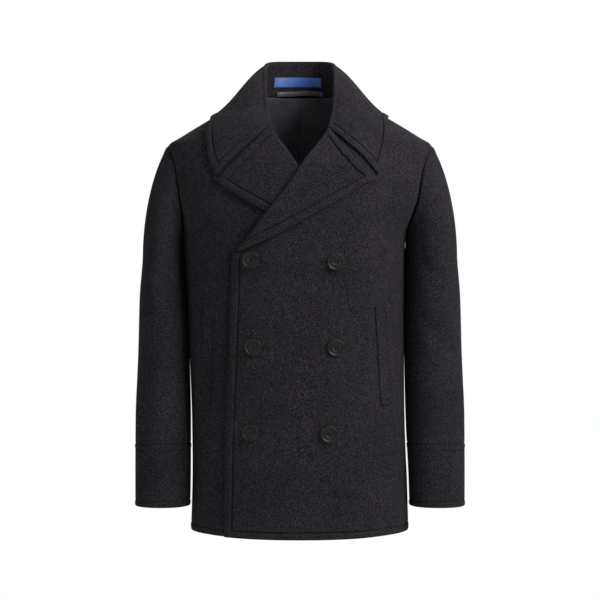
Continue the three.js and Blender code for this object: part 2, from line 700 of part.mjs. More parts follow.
// One section of the collar: up the stand, over the fold and down the fall to its edge
function collarSection(place) {
  const [seam, roll, outer] = ["seam", "roll", "outer"].map((key) => collarLines[key](place));
  const [before, after] = [Math.max(place - 0.05, 0), Math.min(place + 0.05, 20)];
  const along = collarLines.roll(after).sub(collarLines.roll(before)).normalize();
  const facing = collarLines.facing(place);
  facing.addScaledVector(along, -facing.dot(along)).normalize();
  const rise = along.clone().cross(facing).normalize();
  const part = Math.abs(place - 10) / 10;
  const side = place < 10 ? -1 : 1;
  const centre = roll.clone().addScaledVector(rise, -foldRadius);
  const standTop = centre.clone().addScaledVector(facing, -foldRadius);
  const fallTop = centre.clone().addScaledVector(facing, foldRadius);
  const section = [0, 0.34, 0.68, 0.94].map((t) => seam.clone().lerp(standTop, t));
  for (const face of steps(-90, 90, 6)) {
    const s = Math.sin(face * degrees);
    const c = Math.cos(face * degrees);
    const onFold = centre.clone().addScaledVector(facing, foldRadius * s);
    section.push(onFold.addScaledVector(rise, foldRadius * c));
  }
  const flat = ease(0.75, 1, part);
  const span = outer.clone().sub(fallTop);
  const shape = (near, deep) => vec(span.x * near, span.y * near, span.z * deep);
  const bezier = new THREE.CubicBezierCurve3(
    fallTop,
    fallTop.clone().add(shape(mix(0.36, 0.33, flat), mix(0.16, 0.33, flat))),
    outer.clone().sub(shape(mix(0.45, 0.33, flat), mix(0.3, 0.33, flat))),
    outer,
  );
  for (const t of [0.1, 0.22, 0.35, 0.48, 0.61, 0.74, 0.87, 1]) {
    const p = bezier.getPoint(t);
    const around = aroundAt(p.x, p.z);
    const cover = p.y < ring.side(p.z) ? coverOf(side, p.x, p.z) + drape(around, p.z) : 0;
    const least = (cover + collarLift(part)) * ease(0, 0.16, t);
    section.push(p.z < 5 ? pushOut(p, least) : p);
  }
  return section;
}

function collar() {
  const count = 30;
  const middle = steps(0, 20, count).map(collarSection);
  const facing = middle.map((row, r) => row.map((p, c) => {
    const across = row[Math.min(c + 1, row.length - 1)].clone().sub(row[Math.max(c - 1, 0)]);
    const along = middle[Math.min(r + 1, count)][c].clone().sub(middle[Math.max(r - 1, 0)][c]);
    return across.cross(along).normalize();
  }));
  return wallOn(middle, facing, (r, c) => (c < 6 ? standWall : collarWall));
}

// A strip on the inside of the collar's stand, between two heights over the seam
function standStrip(fromX, toX, low, high, off, thick, count = 10) {
  const rows = [];
  const backs = [];
  const xs = steps(fromX, toX, count);
  for (const height of [low, high]) {
    const row = xs.map((x) => {
      let [a, b] = [5, 15];
      for (let i = 0; i < 24; i++) {
        const m = (a + b) / 2;
        if (collarLines.seam(m).x < x) a = m;
        else b = m;
      }
      const [foot, , , top] = collarSection(a);
      const up = top.clone().sub(foot);
      const ahead = collarLines.seam(a + 0.1).sub(collarLines.seam(a - 0.1));
      const inward = up.clone().cross(ahead).normalize();
      if (inward.y > 0) inward.negate();
      const p = foot.clone().addScaledVector(up, height / up.length());
      const bow = off(x);
      return [
        p.clone().addScaledVector(inward, standWall / 2 + bow + thick),
        p.clone().addScaledVector(inward, standWall / 2 + bow),
      ];
    });
    rows.push(row.map((pair) => pair[0]));
    backs.push(row.map((pair) => pair[1]));
  }
  return wall(rows, backs);
}

const neckLabel = () => standStrip(labelLeft, labelRight, labelLow, labelHigh, () => 0.7, labelWall);
const hangerLoop = () => {
  const bow = (x) => 0.4 + loopBow * Math.sqrt(Math.max(0, 1 - (x / loopReach) ** 2));
  return standStrip(-loopReach, loopReach, loopLow, loopHigh, bow, loopWall, 12);
};

// A pocket's welt, laid on its front from the front's own points
function pocketWelt({ side, topX, topZ, bottomX, bottomZ }) {
  const rows = steps(0, 1, 8);
  const face = (out) => rows.map((t) => steps(0, 1, 3).map((u) => {
    const x = side * (mix(topX, bottomX, t) - weltWidth * u);
    return frontPoint(side, x, mix(topZ, bottomZ, t), out);
  }));
  return wall(face(weltGap + weltWall), face(weltGap));
}

// A three.js geometry as a solid, with shared vertices merged and empty triangles left out
function solidOf(geometry) {
  geometry.deleteAttribute("normal");
  geometry.deleteAttribute("uv");
  const merged = mergeVertices(geometry, 1e-4);
  const cornersOf = (i) => [0, 1, 2].map((k) => merged.index.getX(3 * i + k));
  const corners = Array.from({ length: merged.index.count / 3 }, (_, i) => cornersOf(i));
  return new wasm.Manifold(new wasm.Mesh({
    numProp: 3,
    vertProperties: new Float32Array(merged.getAttribute("position").array),
    triVerts: new Uint32Array(corners.filter(([a, b, c]) => a !== b && b !== c && c !== a).flat()),
  }));
}

function geometryOf(solid) {
  const mesh = solid.getMesh();
  const geometry = new THREE.BufferGeometry();
  geometry.setAttribute("position", new THREE.BufferAttribute(new Float32Array(mesh.vertProperties), 3));
  return geometry.setIndex(new THREE.BufferAttribute(new Uint32Array(mesh.triVerts), 1));
}

// A four-hole button with a raised rim, turned about Z with its back on Z = 0
function buttonShape() {
  const r = buttonRadius;
  const h = buttonHeight;
  const profile = [[0, 0], [r - 3, 0], [r, 1.4], [r, h - 1], [r - 1.2, h], [r - 3.2, h - 1.2], [0, h - 1.2]];
  const outline = profile.map(([radius, height]) => new THREE.Vector2(radius, height));
  const body = solidOf(new THREE.LatheGeometry(outline, buttonSides).rotateX(Math.PI / 2));
  const holes = [45, 135, 225, 315].map((turn) => {
    const pin = new THREE.CylinderGeometry(buttonHole, buttonHole, 3 * h, 6).rotateX(Math.PI / 2);
    const out = vec(buttonHoleOut, 0, 0).applyAxisAngle(vec(0, 0, 1), turn * degrees);
    return solidOf(pin.translate(out.x, out.y, h / 2));
  });
  return geometryOf(holes.reduce((solid, pin) => solid.subtract(pin), body));
}

const coat = new THREE.Group();

function add(name, geometry, material) {
  const mesh = new THREE.Mesh(geometry, material);
  mesh.name = name;
  coat.add(mesh);
  return mesh;
}

for (const name of Object.keys(fronts)) add(name, frontPanel(name), cloth);
for (const [name, side] of [["left", 1], ["right", -1]]) {
  add(`back_${name}`, backPanel(side), cloth);
  add(`sleeve_${name}`, sleeve(side), cloth);
  add(`cuff_${name}`, cuff(side), cloth);
}
for (const name of Object.keys(lapels)) add(name, lapel(name), cloth);
add("collar", collar(), cloth);
add("lining_back", backLining(), lining);
add("neck_label", neckLabel(), ribbon);
add("hanger_loop", hangerLoop(), lining);
for (const welt of pocketWelts) add(welt.name, pocketWelt(welt), cloth);

const buttonGeometry = buttonShape();
for (const { name, x, z } of buttons) {
  const mesh = add(name, buttonGeometry, horn);
  mesh.position.copy(frontPoint(1, x, z, buttonGap));
  mesh.quaternion.setFromUnitVectors(vec(0, 0, 1), formNormal(aroundAt(x, z), z));
}

export default coat;
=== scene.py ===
import json
import math

import bpy
import numpy as np
from mathutils import Matrix, Vector

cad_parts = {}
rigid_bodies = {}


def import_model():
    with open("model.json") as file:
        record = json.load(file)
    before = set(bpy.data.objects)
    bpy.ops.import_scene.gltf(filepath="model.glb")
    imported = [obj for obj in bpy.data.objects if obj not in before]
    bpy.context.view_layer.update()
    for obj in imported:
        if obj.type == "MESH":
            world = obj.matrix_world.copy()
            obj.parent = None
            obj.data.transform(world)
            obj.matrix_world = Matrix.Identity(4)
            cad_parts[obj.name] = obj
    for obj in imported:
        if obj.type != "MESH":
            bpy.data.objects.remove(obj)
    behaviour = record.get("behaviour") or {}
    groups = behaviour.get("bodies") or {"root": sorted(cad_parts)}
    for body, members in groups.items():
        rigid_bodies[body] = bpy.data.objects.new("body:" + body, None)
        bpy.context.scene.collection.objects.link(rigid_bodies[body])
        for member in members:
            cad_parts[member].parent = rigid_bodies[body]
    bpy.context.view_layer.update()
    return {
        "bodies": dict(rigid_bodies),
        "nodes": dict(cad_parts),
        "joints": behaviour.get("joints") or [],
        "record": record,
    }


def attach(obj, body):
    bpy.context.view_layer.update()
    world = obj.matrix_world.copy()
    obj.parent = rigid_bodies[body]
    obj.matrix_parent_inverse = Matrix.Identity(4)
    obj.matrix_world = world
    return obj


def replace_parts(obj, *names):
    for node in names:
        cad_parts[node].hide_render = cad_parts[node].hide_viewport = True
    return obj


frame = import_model()
print("frame loaded,", len(frame["nodes"]), "nodes")

# Sizes are in millimetres here and become metres where a mesh is made. The origin is the nape,
# +Z is up, the front faces -Y and +X is the wearer's left.
metre = 0.001


def table(names, *rows):
    # names the columns; each row is a section
    return {name: np.array([row[i] for row in rows], float) for i, name in enumerate(names.split())}


# Driving sizes. They are the solids' own, apart from the gap under the collar, smaller here
hem, armpit, shoulder, neckTop, breakZ = -788, -255, -95, -5, -297
bodyWall, frontWall, lapelWall, collarWall, standWall, liningWall = 3, 4, 4.2, 3.6, 3, 1
layerGap, lapGap, seamGap, foldReach, lapelStart = 2.1, 2, 0.4, 5.4, 9
foldRadius, standRise, standSetIn, collarGap, ridgeGap = 2.6, 3.8, 1.2, 1.6, 0.8
armholeFront, armholeBack, armholeRound, hemRise = 25, 23, 2.3, 4
underEdgeX, cuffTop, cuffLow, sleeveTop, sleeveSquare = 86, -640, -740, -300, 2.2
bodyPerDegree = 2.9

# Where the fronts' facing thins out sideways, and where the lap and the lapels' stack begin and end
facingEnds, lapEnds, stackEnds, drapeEnds = (90, 165), (-150, -70), (-345, -303), (-150, -100)

# The body's level rings: half widths at the wearer's left and right, depths, and squareness
body = table(
    "z left right front back side square",
    (-788, 196, 197, -224, 40, -92, 2.1),
    (-700, 195, 196, -221, 40, -92, 2.2),
    (-591, 191, 197, -218, 37, -92, 2.35),
    (-465, 189, 201, -217, 27, -92, 2.35),
    (-375, 188, 204, -220, 25, -92, 2.38),
    (-300, 188, 208, -223, 29, -92, 2.4),
    (-255, 192, 210, -222, 34, -91, 2.38),
    (-225, 210, 220, -220, 36, -90, 2.34),
    (-195, 226, 231, -215, 38, -88, 2.3),
    (-150, 236, 239, -206, 38, -84, 2.18),
    (-110, 240, 241, -190, 34.5, -80, 2.12),
    (-95, 236, 236, -182.5, 32, -78, 2.2),
    (-84, 218, 218, -176, 29.5, -76, 2.36),
    (-72, 199, 199, -169, 26.5, -74, 2.5),
    (-50, 163, 163, -154, 20, -70, 2.6),
    (-20, 112, 112, -131, 10, -64, 2.4),
    (0, 81, 81, -112, 4.4, -60, 2.1),
    (30, 60, 60, -90, -4, -50, 2),
)

# Soft folds of the body: angle round it, height, half length, half width, lean and depth outwards
bodyFolds = table(
    "around z long wide lean deep",
    (-11, -450, 130, 26, 8, -3.4),
    (9, -400, 120, 24, -6, 2.6),
    (27, -470, 170, 24, -4, -3.2),
    (44, -330, 110, 20, 24, 2.6),
    (-50, -620, 170, 26, 3, -3),
    (2, -700, 110, 40, 0, -2.6),
    (55, -690, 120, 30, -4, 2.8),
    (88, -560, 220, 26, 2, -4.5),
    (-88, -560, 220, 26, -2, -4.5),
    (118, -600, 230, 26, 3, 4.5),
    (-120, -620, 230, 28, -4, 4),
    (146, -470, 240, 26, -5, -4.5),
    (-149, -500, 230, 28, 6, -4),
    (166, -660, 150, 24, 2, 3.6),
    (-165, -640, 150, 26, -3, 3.2),
    (142, -215, 90, 22, 34, -3),
    (-143, -225, 90, 22, -32, -3),
)

sleeveFolds = table(
    "around z long wide lean deep",
    (120, -300, 70, 13, 38, -3),
    (60, -350, 80, 16, -28, 2.4),
    (95, -430, 70, 12, 42, -3.2),
    (250, -440, 70, 14, -40, -3.4),
    (285, -480, 70, 14, -36, 3),
    (262, -520, 60, 12, -40, -3),
    (60, -540, 110, 18, 6, -2.6),
    (300, -250, 70, 14, 20, -2.6),
)

topEdge = table("z x", (-788, -129), (-591, -126), (-465, -121), (-375, -118), (-297, -114))
topRoll = table(
    "z x", (-297, -113), (-283, -99), (-232, -60), (-183, -21), (-145, 4), (-122, 21), (-94, 40), (-77, 50)
)
underRoll = table("z x", (-297, 85), (-230, 46), (-145, -4), (-113, -25), (-88, -43), (-73, -51))
topLapelEdge = table(
    "part x z",
    (0, -104, -293), (0.15, -72, -279), (0.4, -8, -246), (0.7, 62, -207), (0.92, 119, -172), (1, 132, -167),
)
underLapelEdge = table(
    "part x z", (0, 76, -294), (0.3, 16, -264), (0.6, -56, -224), (0.92, -133, -177), (1, -144.5, -167)
)
neckSeam = table(
    "part around z",
    (0, 180, 0), (0.25, 139, 0), (0.5, 90, -3), (0.6, 70, -9),
    (0.7, 54, -18), (0.8, 41, -30), (0.9, 30, -49), (1, 23, -70),
)
collarRoll = table(
    "part x y z faceX faceY faceZ",
    (0, 0, 6, 66, 0, 1, 0),
    (0.1, 22, 3, 65.5, 0.3, 0.95, 0),
    (0.2, 41, -7, 64, 0.62, 0.78, 0),
    (0.3, 54, -22, 61, 0.88, 0.47, 0),
    (0.4, 61, -41, 55.5, 0.98, 0.15, 0),
    (0.5, 63.5, -62, 46, 1, -0.1, -0.05),
    (0.6, 63, -84, 31, 0.95, -0.3, 0),
    (0.7, 62, -105, 10, 0.8, -0.6, 0.05),
    (0.8, 60.5, -125, -14, 0.6, -0.78, 0.15),
    (0.9, 57, -145, -45, 0.4, -0.9, 0.2),
)
collarEdge = table(
    "part left right z",
    (0, 180, 180, -22), (0.1, 165, 165, -25), (0.2, 149, 149, -31), (0.3, 132, 132, -37.5),
    (0.4, 112, 112, -43), (0.5, 89, 89, -46), (0.6, 60, 63, -56), (0.7, 46, 50, -75),
    (0.8, 38.5, 41.5, -100), (0.9, 36, 39.5, -131), (1, 32.5, 35.6, -159),
)
sleeveRings = table(
    "z outer front back",
    (-300, 282, -164, -14), (-375, 288, -163, -16), (-465, 290, -164, -24),
    (-591, 294, -166, -44), (-640, 294, -167, -52), (-740, 293.5, -169, -62),
)


def mix(a, b, t):
    return a + (b - a) * t


def ease(low, high, v):
    t = np.clip((v - low) / (high - low), 0, 1)
    return t * t * (3 - 2 * t)


def unit(v):
    return v / np.maximum(np.linalg.norm(v, axis=-1, keepdims=True), 1e-12)


def hump(away, wide):
    # 1 in the middle, and down to nothing over a few widths
    return np.exp(-((away / wide) ** 2))


def runLength(line):
    # how far along a line each of its points lies
    return np.concatenate([[0], np.cumsum(np.linalg.norm(np.diff(line, axis=0), axis=1))])


def gathered(amount, at):
    # the sum of an amount up to each place
    return np.concatenate([[0], np.cumsum((amount[1:] + amount[:-1]) / 2 * np.diff(at))])


def bezier(a, b, c, d, t):
    return (1 - t) ** 3 * a + 3 * (1 - t) ** 2 * t * b + 3 * (1 - t) * t**2 * c + t**3 * d


def smooth(t, a, b, slopeA, slopeB):
    # from a to b, with a slope at each end
    rise = (2 * t**3 - 3 * t**2 + 1) * a + (3 * t**2 - 2 * t**3) * b
    return rise + (t**3 - 2 * t**2 + t) * slopeA + (t**3 - t**2) * slopeB


def curve(at, value):
    # smooth between its rows, with no overshoot
    at, value = np.asarray(at, float), np.asarray(value, float)
    if at[0] > at[-1]:
        at, value = at[::-1], value[::-1]
    slope = np.diff(value) / np.diff(at)
    before, after = np.concatenate([slope[:1], slope]), np.concatenate([slope, slope[-1:]])
    same = before * after > 0
    turn = np.where(same, 2 * before * after / np.where(same, before + after, 1), 0)

    def valueAt(v):
        x = np.clip(v, at[0], at[-1])
        i = np.clip(np.searchsorted(at, x, side="right") - 1, 0, len(at) - 2)
        h = at[i + 1] - at[i]
        return smooth((x - at[i]) / h, value[i], value[i + 1], h * turn[i], h * turn[i + 1])

    return valueAt


ring = {name: curve(body["z"], body[name]) for name in body if name != "z"}
sleeveRing = {name: curve(sleeveRings["z"], sleeveRings[name]) for name in sleeveRings if name != "z"}
seamAround = curve(neckSeam["part"], neckSeam["around"])
seamZ = curve(neckSeam["part"], neckSeam["z"])
neckAround = curve(neckSeam["z"][2:], neckSeam["around"][2:])


def foldDepth(folds, around, z, perDegree):
    total = 0.0
    for a, fz, long, wide, lean, deep in zip(*folds.values()):
        across = ((around - a + 180) % 360 - 180) * perDegree
        c, s = math.cos(math.radians(lean)), math.sin(math.radians(lean))
        side, along = across * c - (z - fz) * s, across * s + (z - fz) * c
        total = total + deep * np.exp(-((side / wide) ** 2) - (along / long) ** 2)
    return total


def drape(around, z):
    return foldDepth(bodyFolds, around, z, bodyPerDegree) * (1 - ease(*drapeEnds, z))


def bare(around, z):
    around, z = np.broadcast_arrays(np.asarray(around, float), np.asarray(z, float))
    s, c = np.sin(np.radians(around)), np.cos(np.radians(around))
    power = 2 / ring["square"](z)
    half = np.where(s > 0, ring["left"](z), ring["right"](z))
    deep = np.where(c > 0, ring["front"](z), ring["back"](z)) - ring["side"](z)
    x = np.sign(s) * half * np.abs(s) ** power
    return np.stack([x, ring["side"](z) + deep * np.abs(c) ** power, z], -1)


def formNormal(around, z):
    turn = bare(around + 0.7, z) - bare(around - 0.7, z)
    rise = bare(around, z + 2) - bare(around, z - 2)
    return unit(np.cross(turn, rise))


def formPoint(around, z, out=0.0):
    return bare(around, z) + formNormal(around, z) * np.asarray(drape(around, z) + out)[..., None]


def aroundAt(x, z):
    # the angle round the front of the body at an x of the front view
    x, z = np.asarray(x, float), np.asarray(z, float)
    half = np.where(x > 0, ring["left"](z), ring["right"](z))
    angle = np.degrees(np.arcsin(np.minimum(1, (np.abs(x) / half) ** (ring["square"](z) / 2))))
    return np.sign(x) * angle


def hemLift(around, z):
    return hemRise * np.sin(np.radians(around)) ** 2 * (1 - ease(hem, hem + 50, z))


def coverOf(side, x, z):
    # how high the top front's outer face stands over the body form
    if side < 0:
        return 0 * (np.asarray(x) + np.asarray(z))
    stack = (lapelWall + layerGap) * ease(*stackEnds, z)
    return (frontWall + lapGap + stack) * (1 - ease(*lapEnds, z)) * (1 - ease(*facingEnds, x))


def frontPoint(side, x, z, out):
    return formPoint(aroundAt(x, z), z, coverOf(side, x, z) + out)


def pushOut(points, least):
    # moves points of the collar clear of the coat under it
    def size(q):
        x, y, z = q[..., 0], q[..., 1], q[..., 2]
        half = np.where(x > 0, ring["left"](z), ring["right"](z))
        side = ring["side"](z)
        deep = np.where(y < side, side - ring["front"](z), ring["back"](z) - side)
        n = ring["square"](z)
        return ((np.abs(x) / half) ** n + (np.abs(y - side) / deep) ** n) ** (1 / n)

    for _ in range(5):
        steps = np.eye(3) * 0.5
        way = np.stack([size(points + s) - size(points - s) for s in steps], -1)
        steep = np.linalg.norm(way, axis=-1, keepdims=True)
        gap = (size(points) - 1) / steep[..., 0]
        short = np.maximum(least - gap, 0)
        points = points + way / steep * short[..., None]
    return points


def armholeOpen(z, reach):
    c = np.clip((2 * z - armpit - shoulder) / (shoulder - armpit), -1, 1)
    return reach * np.sqrt(np.maximum(0, 1 - np.abs(c) ** armholeRound))


def armhole(turn):
    # turn is 0 at the shoulder, 90 at the front and 180 at the armpit
    c = np.cos(np.radians(turn))
    reach = np.where(np.sin(np.radians(turn)) >= 0, armholeFront, -armholeBack)
    z = (armpit + shoulder) / 2 + (shoulder - armpit) / 2 * c
    return 90 - reach * np.sqrt(np.maximum(0, 1 - np.abs(c) ** armholeRound)), z


# Topstitching: its place from an edge and from the hem, the groove and puff beside it, and its thread
topstitch = {
    "edge": 14.0, "hem": 12.0, "deep": 2.7, "wide": 1.15, "puff": 1.1, "thin": 0.6,
    "pitch": 4.2, "long": 2.7, "thread": 0.34, "sink": 0.15,
}
stitchRuns = []


def padBand(share, fade=1.0):
    # the soft band from an edge (share 0) to its row of stitches (share 1)
    trough = -topstitch["deep"] * hump((share - 1) * topstitch["edge"], topstitch["wide"])
    return (trough + topstitch["puff"] * np.sin(np.pi * np.clip(share, 0, 1))) * fade


def withNormals(points, normals):
    return np.concatenate([points, normals], -1)


def stitchAlong(run, lift=topstitch["sink"]):
    # keeps a row of stitches for later: run holds places, with the outward way at each
    stitchRuns.append(run[:, :3] + unit(run[:, 3:]) * lift)


def gridNormals(grid, wrap=False):
    if wrap:
        across = np.roll(grid, -1, 1) - np.roll(grid, 1, 1)
    else:
        across = np.gradient(grid, axis=1)
    return unit(np.cross(across, np.gradient(grid, axis=0)))


def lengthAlong(grid, axis, fromEnd=False):
    step = np.linalg.norm(np.diff(grid, axis=axis), axis=-1)
    zero = np.zeros_like(np.take(step, [0], axis=axis))
    length = np.concatenate([zero, np.cumsum(step, axis=axis)], axis=axis)
    if fromEnd:
        return np.take(length, [-1], axis=axis) - length
    return length


def lineAt(grid, length, distance, axis):
    # where the given length reaches a distance, on each row (axis 1) or column (axis 0)
    if axis == 0:
        grid, length = np.swapaxes(grid, 0, 1), length.T
    found = []
    for row, along in zip(grid, length):
        order = np.argsort(along)
        if along[order[-1]] > distance:
            found.append([np.interp(distance, along[order], row[order, k]) for k in range(row.shape[1])])
    return np.array(found)


def denser(start, end, spacing, spots=()):
    # positions from start to end, closer together at each spot of (place, reach, spacing)
    fine = np.linspace(start, end, 4000)
    density = np.full_like(fine, 1 / spacing)
    for place, reach, close in spots:
        density += (1 / close - 1 / spacing) * hump(fine - place, reach)
    total = gathered(density, fine)
    count = int(math.ceil(abs(total[-1])))
    return np.interp(np.linspace(0, total[-1], count + 1), total, fine)


def addObject(name, data):
    thing = bpy.data.objects.new(name, data)
    bpy.context.scene.collection.objects.link(thing)
    return thing


def coatPiece(name, mesh):
    piece = addObject(name, mesh)
    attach(piece, "root")
    return piece


def meshPiece(name, points, faces, material, slot):
    mesh = bpy.data.meshes.new(name)
    mesh.from_pydata((np.asarray(points) * metre).tolist(), [], [list(f) for f in faces])
    mesh.materials.append(material)
    mesh.polygons.foreach_set("use_smooth", [True] * len(mesh.polygons))
    return coatPiece(name, mesh)


# How far from an edge the columns next to it lie, closest where its stitches sink in
edgeColumns = np.array([0, 1, 2.4, 4, 6, 8, 10, 11.4, 12.4, 13, 13.5, 14, 14.5, 15, 15.7, 16.8, 18.5, 21])
midColumns = 20


def edgeShares(line):
    # where the columns of a row lie between its start (left out) and its edge
    length = runLength(line)
    near = edgeColumns * min(1, 0.8 * length[-1] / edgeColumns[-1])
    rest = np.linspace(0, length[-1] - near[-1], midColumns + 1)[1:-1]
    wanted = np.concatenate([rest, length[-1] - near[::-1]])
    return np.interp(wanted, length, np.linspace(0, 1, len(line)))


def clothWall(name, outer, inner, material, slot, wrap, rim):
    # a closed wall of cloth between two faces of points, with its rim rounded
    rows, cols = outer.shape[:2]
    layer = np.arange(2 * rows * cols).reshape(2, rows, cols)
    if wrap:
        layer = np.concatenate([layer, layer[:, :, :1]], 2)
    o, i = layer
    quads = [
        np.stack([o[:-1, :-1], o[:-1, 1:], o[1:, 1:], o[1:, :-1]], -1).reshape(-1, 4),
        np.stack([i[:-1, :-1], i[1:, :-1], i[1:, 1:], i[:-1, 1:]], -1).reshape(-1, 4),
        np.stack([o[0, :-1], i[0, :-1], i[0, 1:], o[0, 1:]], -1),
        np.stack([o[-1, :-1], o[-1, 1:], i[-1, 1:], i[-1, :-1]], -1),
    ]
    if not wrap:
        quads.append(np.stack([o[:-1, 0], o[1:, 0], i[1:, 0], i[:-1, 0]], -1))
        quads.append(np.stack([o[:-1, -1], i[:-1, -1], i[1:, -1], o[1:, -1]], -1))
    faces = np.concatenate(quads)
    points = np.concatenate([outer.reshape(-1, 3), inner.reshape(-1, 3)])
    a, b, c, d = (points[faces[:, k]] for k in range(4))
    volume = np.einsum("ij,ij->i", a, np.cross(b, c)).sum() + np.einsum("ij,ij->i", a, np.cross(c, d)).sum()
    if volume < 0:
        faces = faces[:, ::-1]
    piece = meshPiece(name, points, faces, material, slot)
    bevel = piece.modifiers.new("softRim", "BEVEL")
    bevel.width = rim * metre
    bevel.segments = 3
    bevel.limit_method = "ANGLE"
    bevel.angle_limit = math.radians(50)
    return piece


# Materials
def feed(tree, node, inputs):
    # gives each input its value, or a link from another node
    for key, value in inputs.items():
        if isinstance(value, bpy.types.NodeSocket):
            tree.links.new(value, node.inputs[key])
        else:
            node.inputs[key].default_value = value


def addNode(tree, kind, inputs=None, **settings):
    node = tree.nodes.new(kind)
    for key, value in settings.items():
        setattr(node, key, value)
    feed(tree, node, inputs or {})
    return node


def noise(tree, vector, scale, detail, rough):
    inputs = {"Vector": vector, "Scale": scale, "Detail": detail, "Roughness": rough}
    return addNode(tree, "ShaderNodeTexNoise", inputs).outputs["Fac"]


def spread(tree, value, low, high, toLow=0.0, toHigh=1.0):
    inputs = {"Value": value, "From Min": low, "From Max": high, "To Min": toLow, "To Max": toHigh}
    return addNode(tree, "ShaderNodeMapRange", inputs).outputs["Result"]


def mixed(tree, amount, first, second, blend="MIX"):
    inputs = {0: amount, 6: first, 7: second}
    return addNode(tree, "ShaderNodeMix", inputs, data_type="RGBA", blend_type=blend).outputs[2]


def calculated(tree, operation, first, second):
    return addNode(tree, "ShaderNodeMath", {0: first, 1: second}, operation=operation).outputs[0]


def clothGroup(name, colours):
    # the named colours go in, and the cloth's colour, height and roughness come out
    group = bpy.data.node_groups.new(name, "ShaderNodeTree")
    sockets = [("Vector", "INPUT", "Vector")] + [(colour, "INPUT", "Color") for colour in colours]
    sockets += [("Color", "OUTPUT", "Color"), ("Height", "OUTPUT", "Float"), ("Roughness", "OUTPUT", "Float")]
    for socketName, direction, kind in sockets:
        group.interface.new_socket(socketName, in_out=direction, socket_type="NodeSocket" + kind)
    return group, addNode(group, "NodeGroupInput").outputs, addNode(group, "NodeGroupOutput")


def heatheredWool():
    # milled wool of dark and pale fibres, with a short nap
    group, given, out = clothGroup("heatheredWool", ("Ground", "Pale", "Dark"))
    clump = noise(group, given["Vector"], 620, 3, 0.6)
    fibre = noise(group, given["Vector"], 1300, 2, 0.6)
    fleck = noise(group, given["Vector"], 760, 2, 0.55)
    broad = noise(group, given["Vector"], 11, 3, 0.55)
    color = mixed(group, spread(group, clump, 0.44, 0.56), given["Dark"], given["Ground"])
    color = mixed(group, spread(group, fleck, 0.52, 0.62), color, given["Pale"])
    color = mixed(group, spread(group, fibre, 0.58, 0.68, 0, 0.5), color, given["Pale"])
    shade = spread(group, broad, 0.3, 0.7, 0.88, 1.12)
    tint = addNode(group, "ShaderNodeCombineColor", {k: shade for k in range(3)}).outputs[0]
    nap = calculated(group, "MULTIPLY", clump, 0.6)
    feed(group, out, {
        "Color": mixed(group, 1.0, color, tint, "MULTIPLY"),
        "Height": calculated(group, "ADD", nap, calculated(group, "MULTIPLY", fibre, 0.5)),
        "Roughness": spread(group, clump, 0.3, 0.7, 0.98, 0.86),
    })
    return group


def fineWeave():
    # crossing threads of satin or tape
    group, given, out = clothGroup("fineWeave", ("Ground", "Pale"))
    heights = []
    for direction in ("X", "Z"):
        inputs = {"Vector": given["Vector"], "Scale": 420, "Distortion": 0.6}
        heights.append(addNode(group, "ShaderNodeTexWave", inputs, bands_direction=direction).outputs["Fac"])
    slub = noise(group, given["Vector"], 60, 3, 0.6)
    feed(group, out, {
        "Color": mixed(group, spread(group, slub, 0.35, 0.65), given["Ground"], given["Pale"]),
        "Height": calculated(group, "MULTIPLY", *heights),
        "Roughness": spread(group, slub, 0.3, 0.7, 0.38, 0.5),
    })
    return group


def newMaterial(name):
    material = bpy.data.materials.new(name)
    material.use_nodes = True
    return material, material.node_tree, material.node_tree.nodes["Principled BSDF"]


def finish(name, group, relief, colours, shader):
    # relief is the strength and the height of the bumps
    material, tree, principled = newMaterial(name)
    inputs = {"Vector": addNode(tree, "ShaderNodeTexCoord").outputs["Object"]}
    inputs.update({key: (*value, 1) for key, value in colours.items()})
    effect = addNode(tree, "ShaderNodeGroup", inputs, node_tree=group).outputs
    bumps = {"Strength": relief[0], "Distance": relief[1], "Height": effect["Height"]}
    normal = addNode(tree, "ShaderNodeBump", bumps).outputs["Normal"]
    seen = {"Base Color": effect["Color"], "Roughness": effect["Roughness"], "Normal": normal}
    feed(tree, principled, {**seen, **shader})
    return material


woolGroup, weaveGroup = heatheredWool(), fineWeave()
wool = finish(
    "charcoalWool", woolGroup, (0.6, 0.001),
    {"Ground": (0.0108, 0.0096, 0.0114), "Pale": (0.041, 0.037, 0.0437), "Dark": (0.0034, 0.003, 0.0036)},
    {"Sheen Weight": 0.01, "Sheen Roughness": 0.5, "Specular IOR Level": 0.02},
)
# thread for every stitch, coloured darker than the cloth: partly the thread's own dark colour, partly painted
# shade standing in for the shadow in the stitch grooves
thread = finish(
    "threadDarkenedAsGrooveShade", woolGroup, (0.3, 0.0004),
    {"Ground": (0.006, 0.0055, 0.0065), "Pale": (0.012, 0.011, 0.013), "Dark": (0.003, 0.003, 0.003)},
    {"Specular IOR Level": 0.3},
)
satin = finish(
    "liningSatin", weaveGroup, (0.15, 0.0002),
    {"Ground": (0.04, 0.0375, 0.048), "Pale": (0.056, 0.0525, 0.067)},
    {"Specular IOR Level": 0.45, "Sheen Weight": 0.1},
)
tape = finish(
    "loopTape", weaveGroup, (0.3, 0.0003),
    {"Ground": (0.031, 0.0295, 0.035), "Pale": (0.05, 0.048, 0.054)}, {"Specular IOR Level": 0.4},
)
ribbon = finish(
    "stripRibbon", weaveGroup, (0.35, 0.0003),
    {"Ground": (0.02, 0.07, 0.25), "Pale": (0.031, 0.092, 0.3)}, {"Specular IOR Level": 0.35},
)
horn = finish(
    "buttonHorn", weaveGroup, (0.04, 0.0002),
    {"Ground": (0.0045, 0.0048, 0.005), "Pale": (0.0075, 0.0079, 0.0081)}, {"Specular IOR Level": 0.2},
)
print("materials ready")


def sewn(name, node, outer, inner, material=wool, slot="wool", wrap=False, rim=1.2, **sheet):
    piece = clothWall(name, outer, inner, material, slot, wrap, rim)
    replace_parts(piece, node)


wearers = {1: "left", -1: "right"}

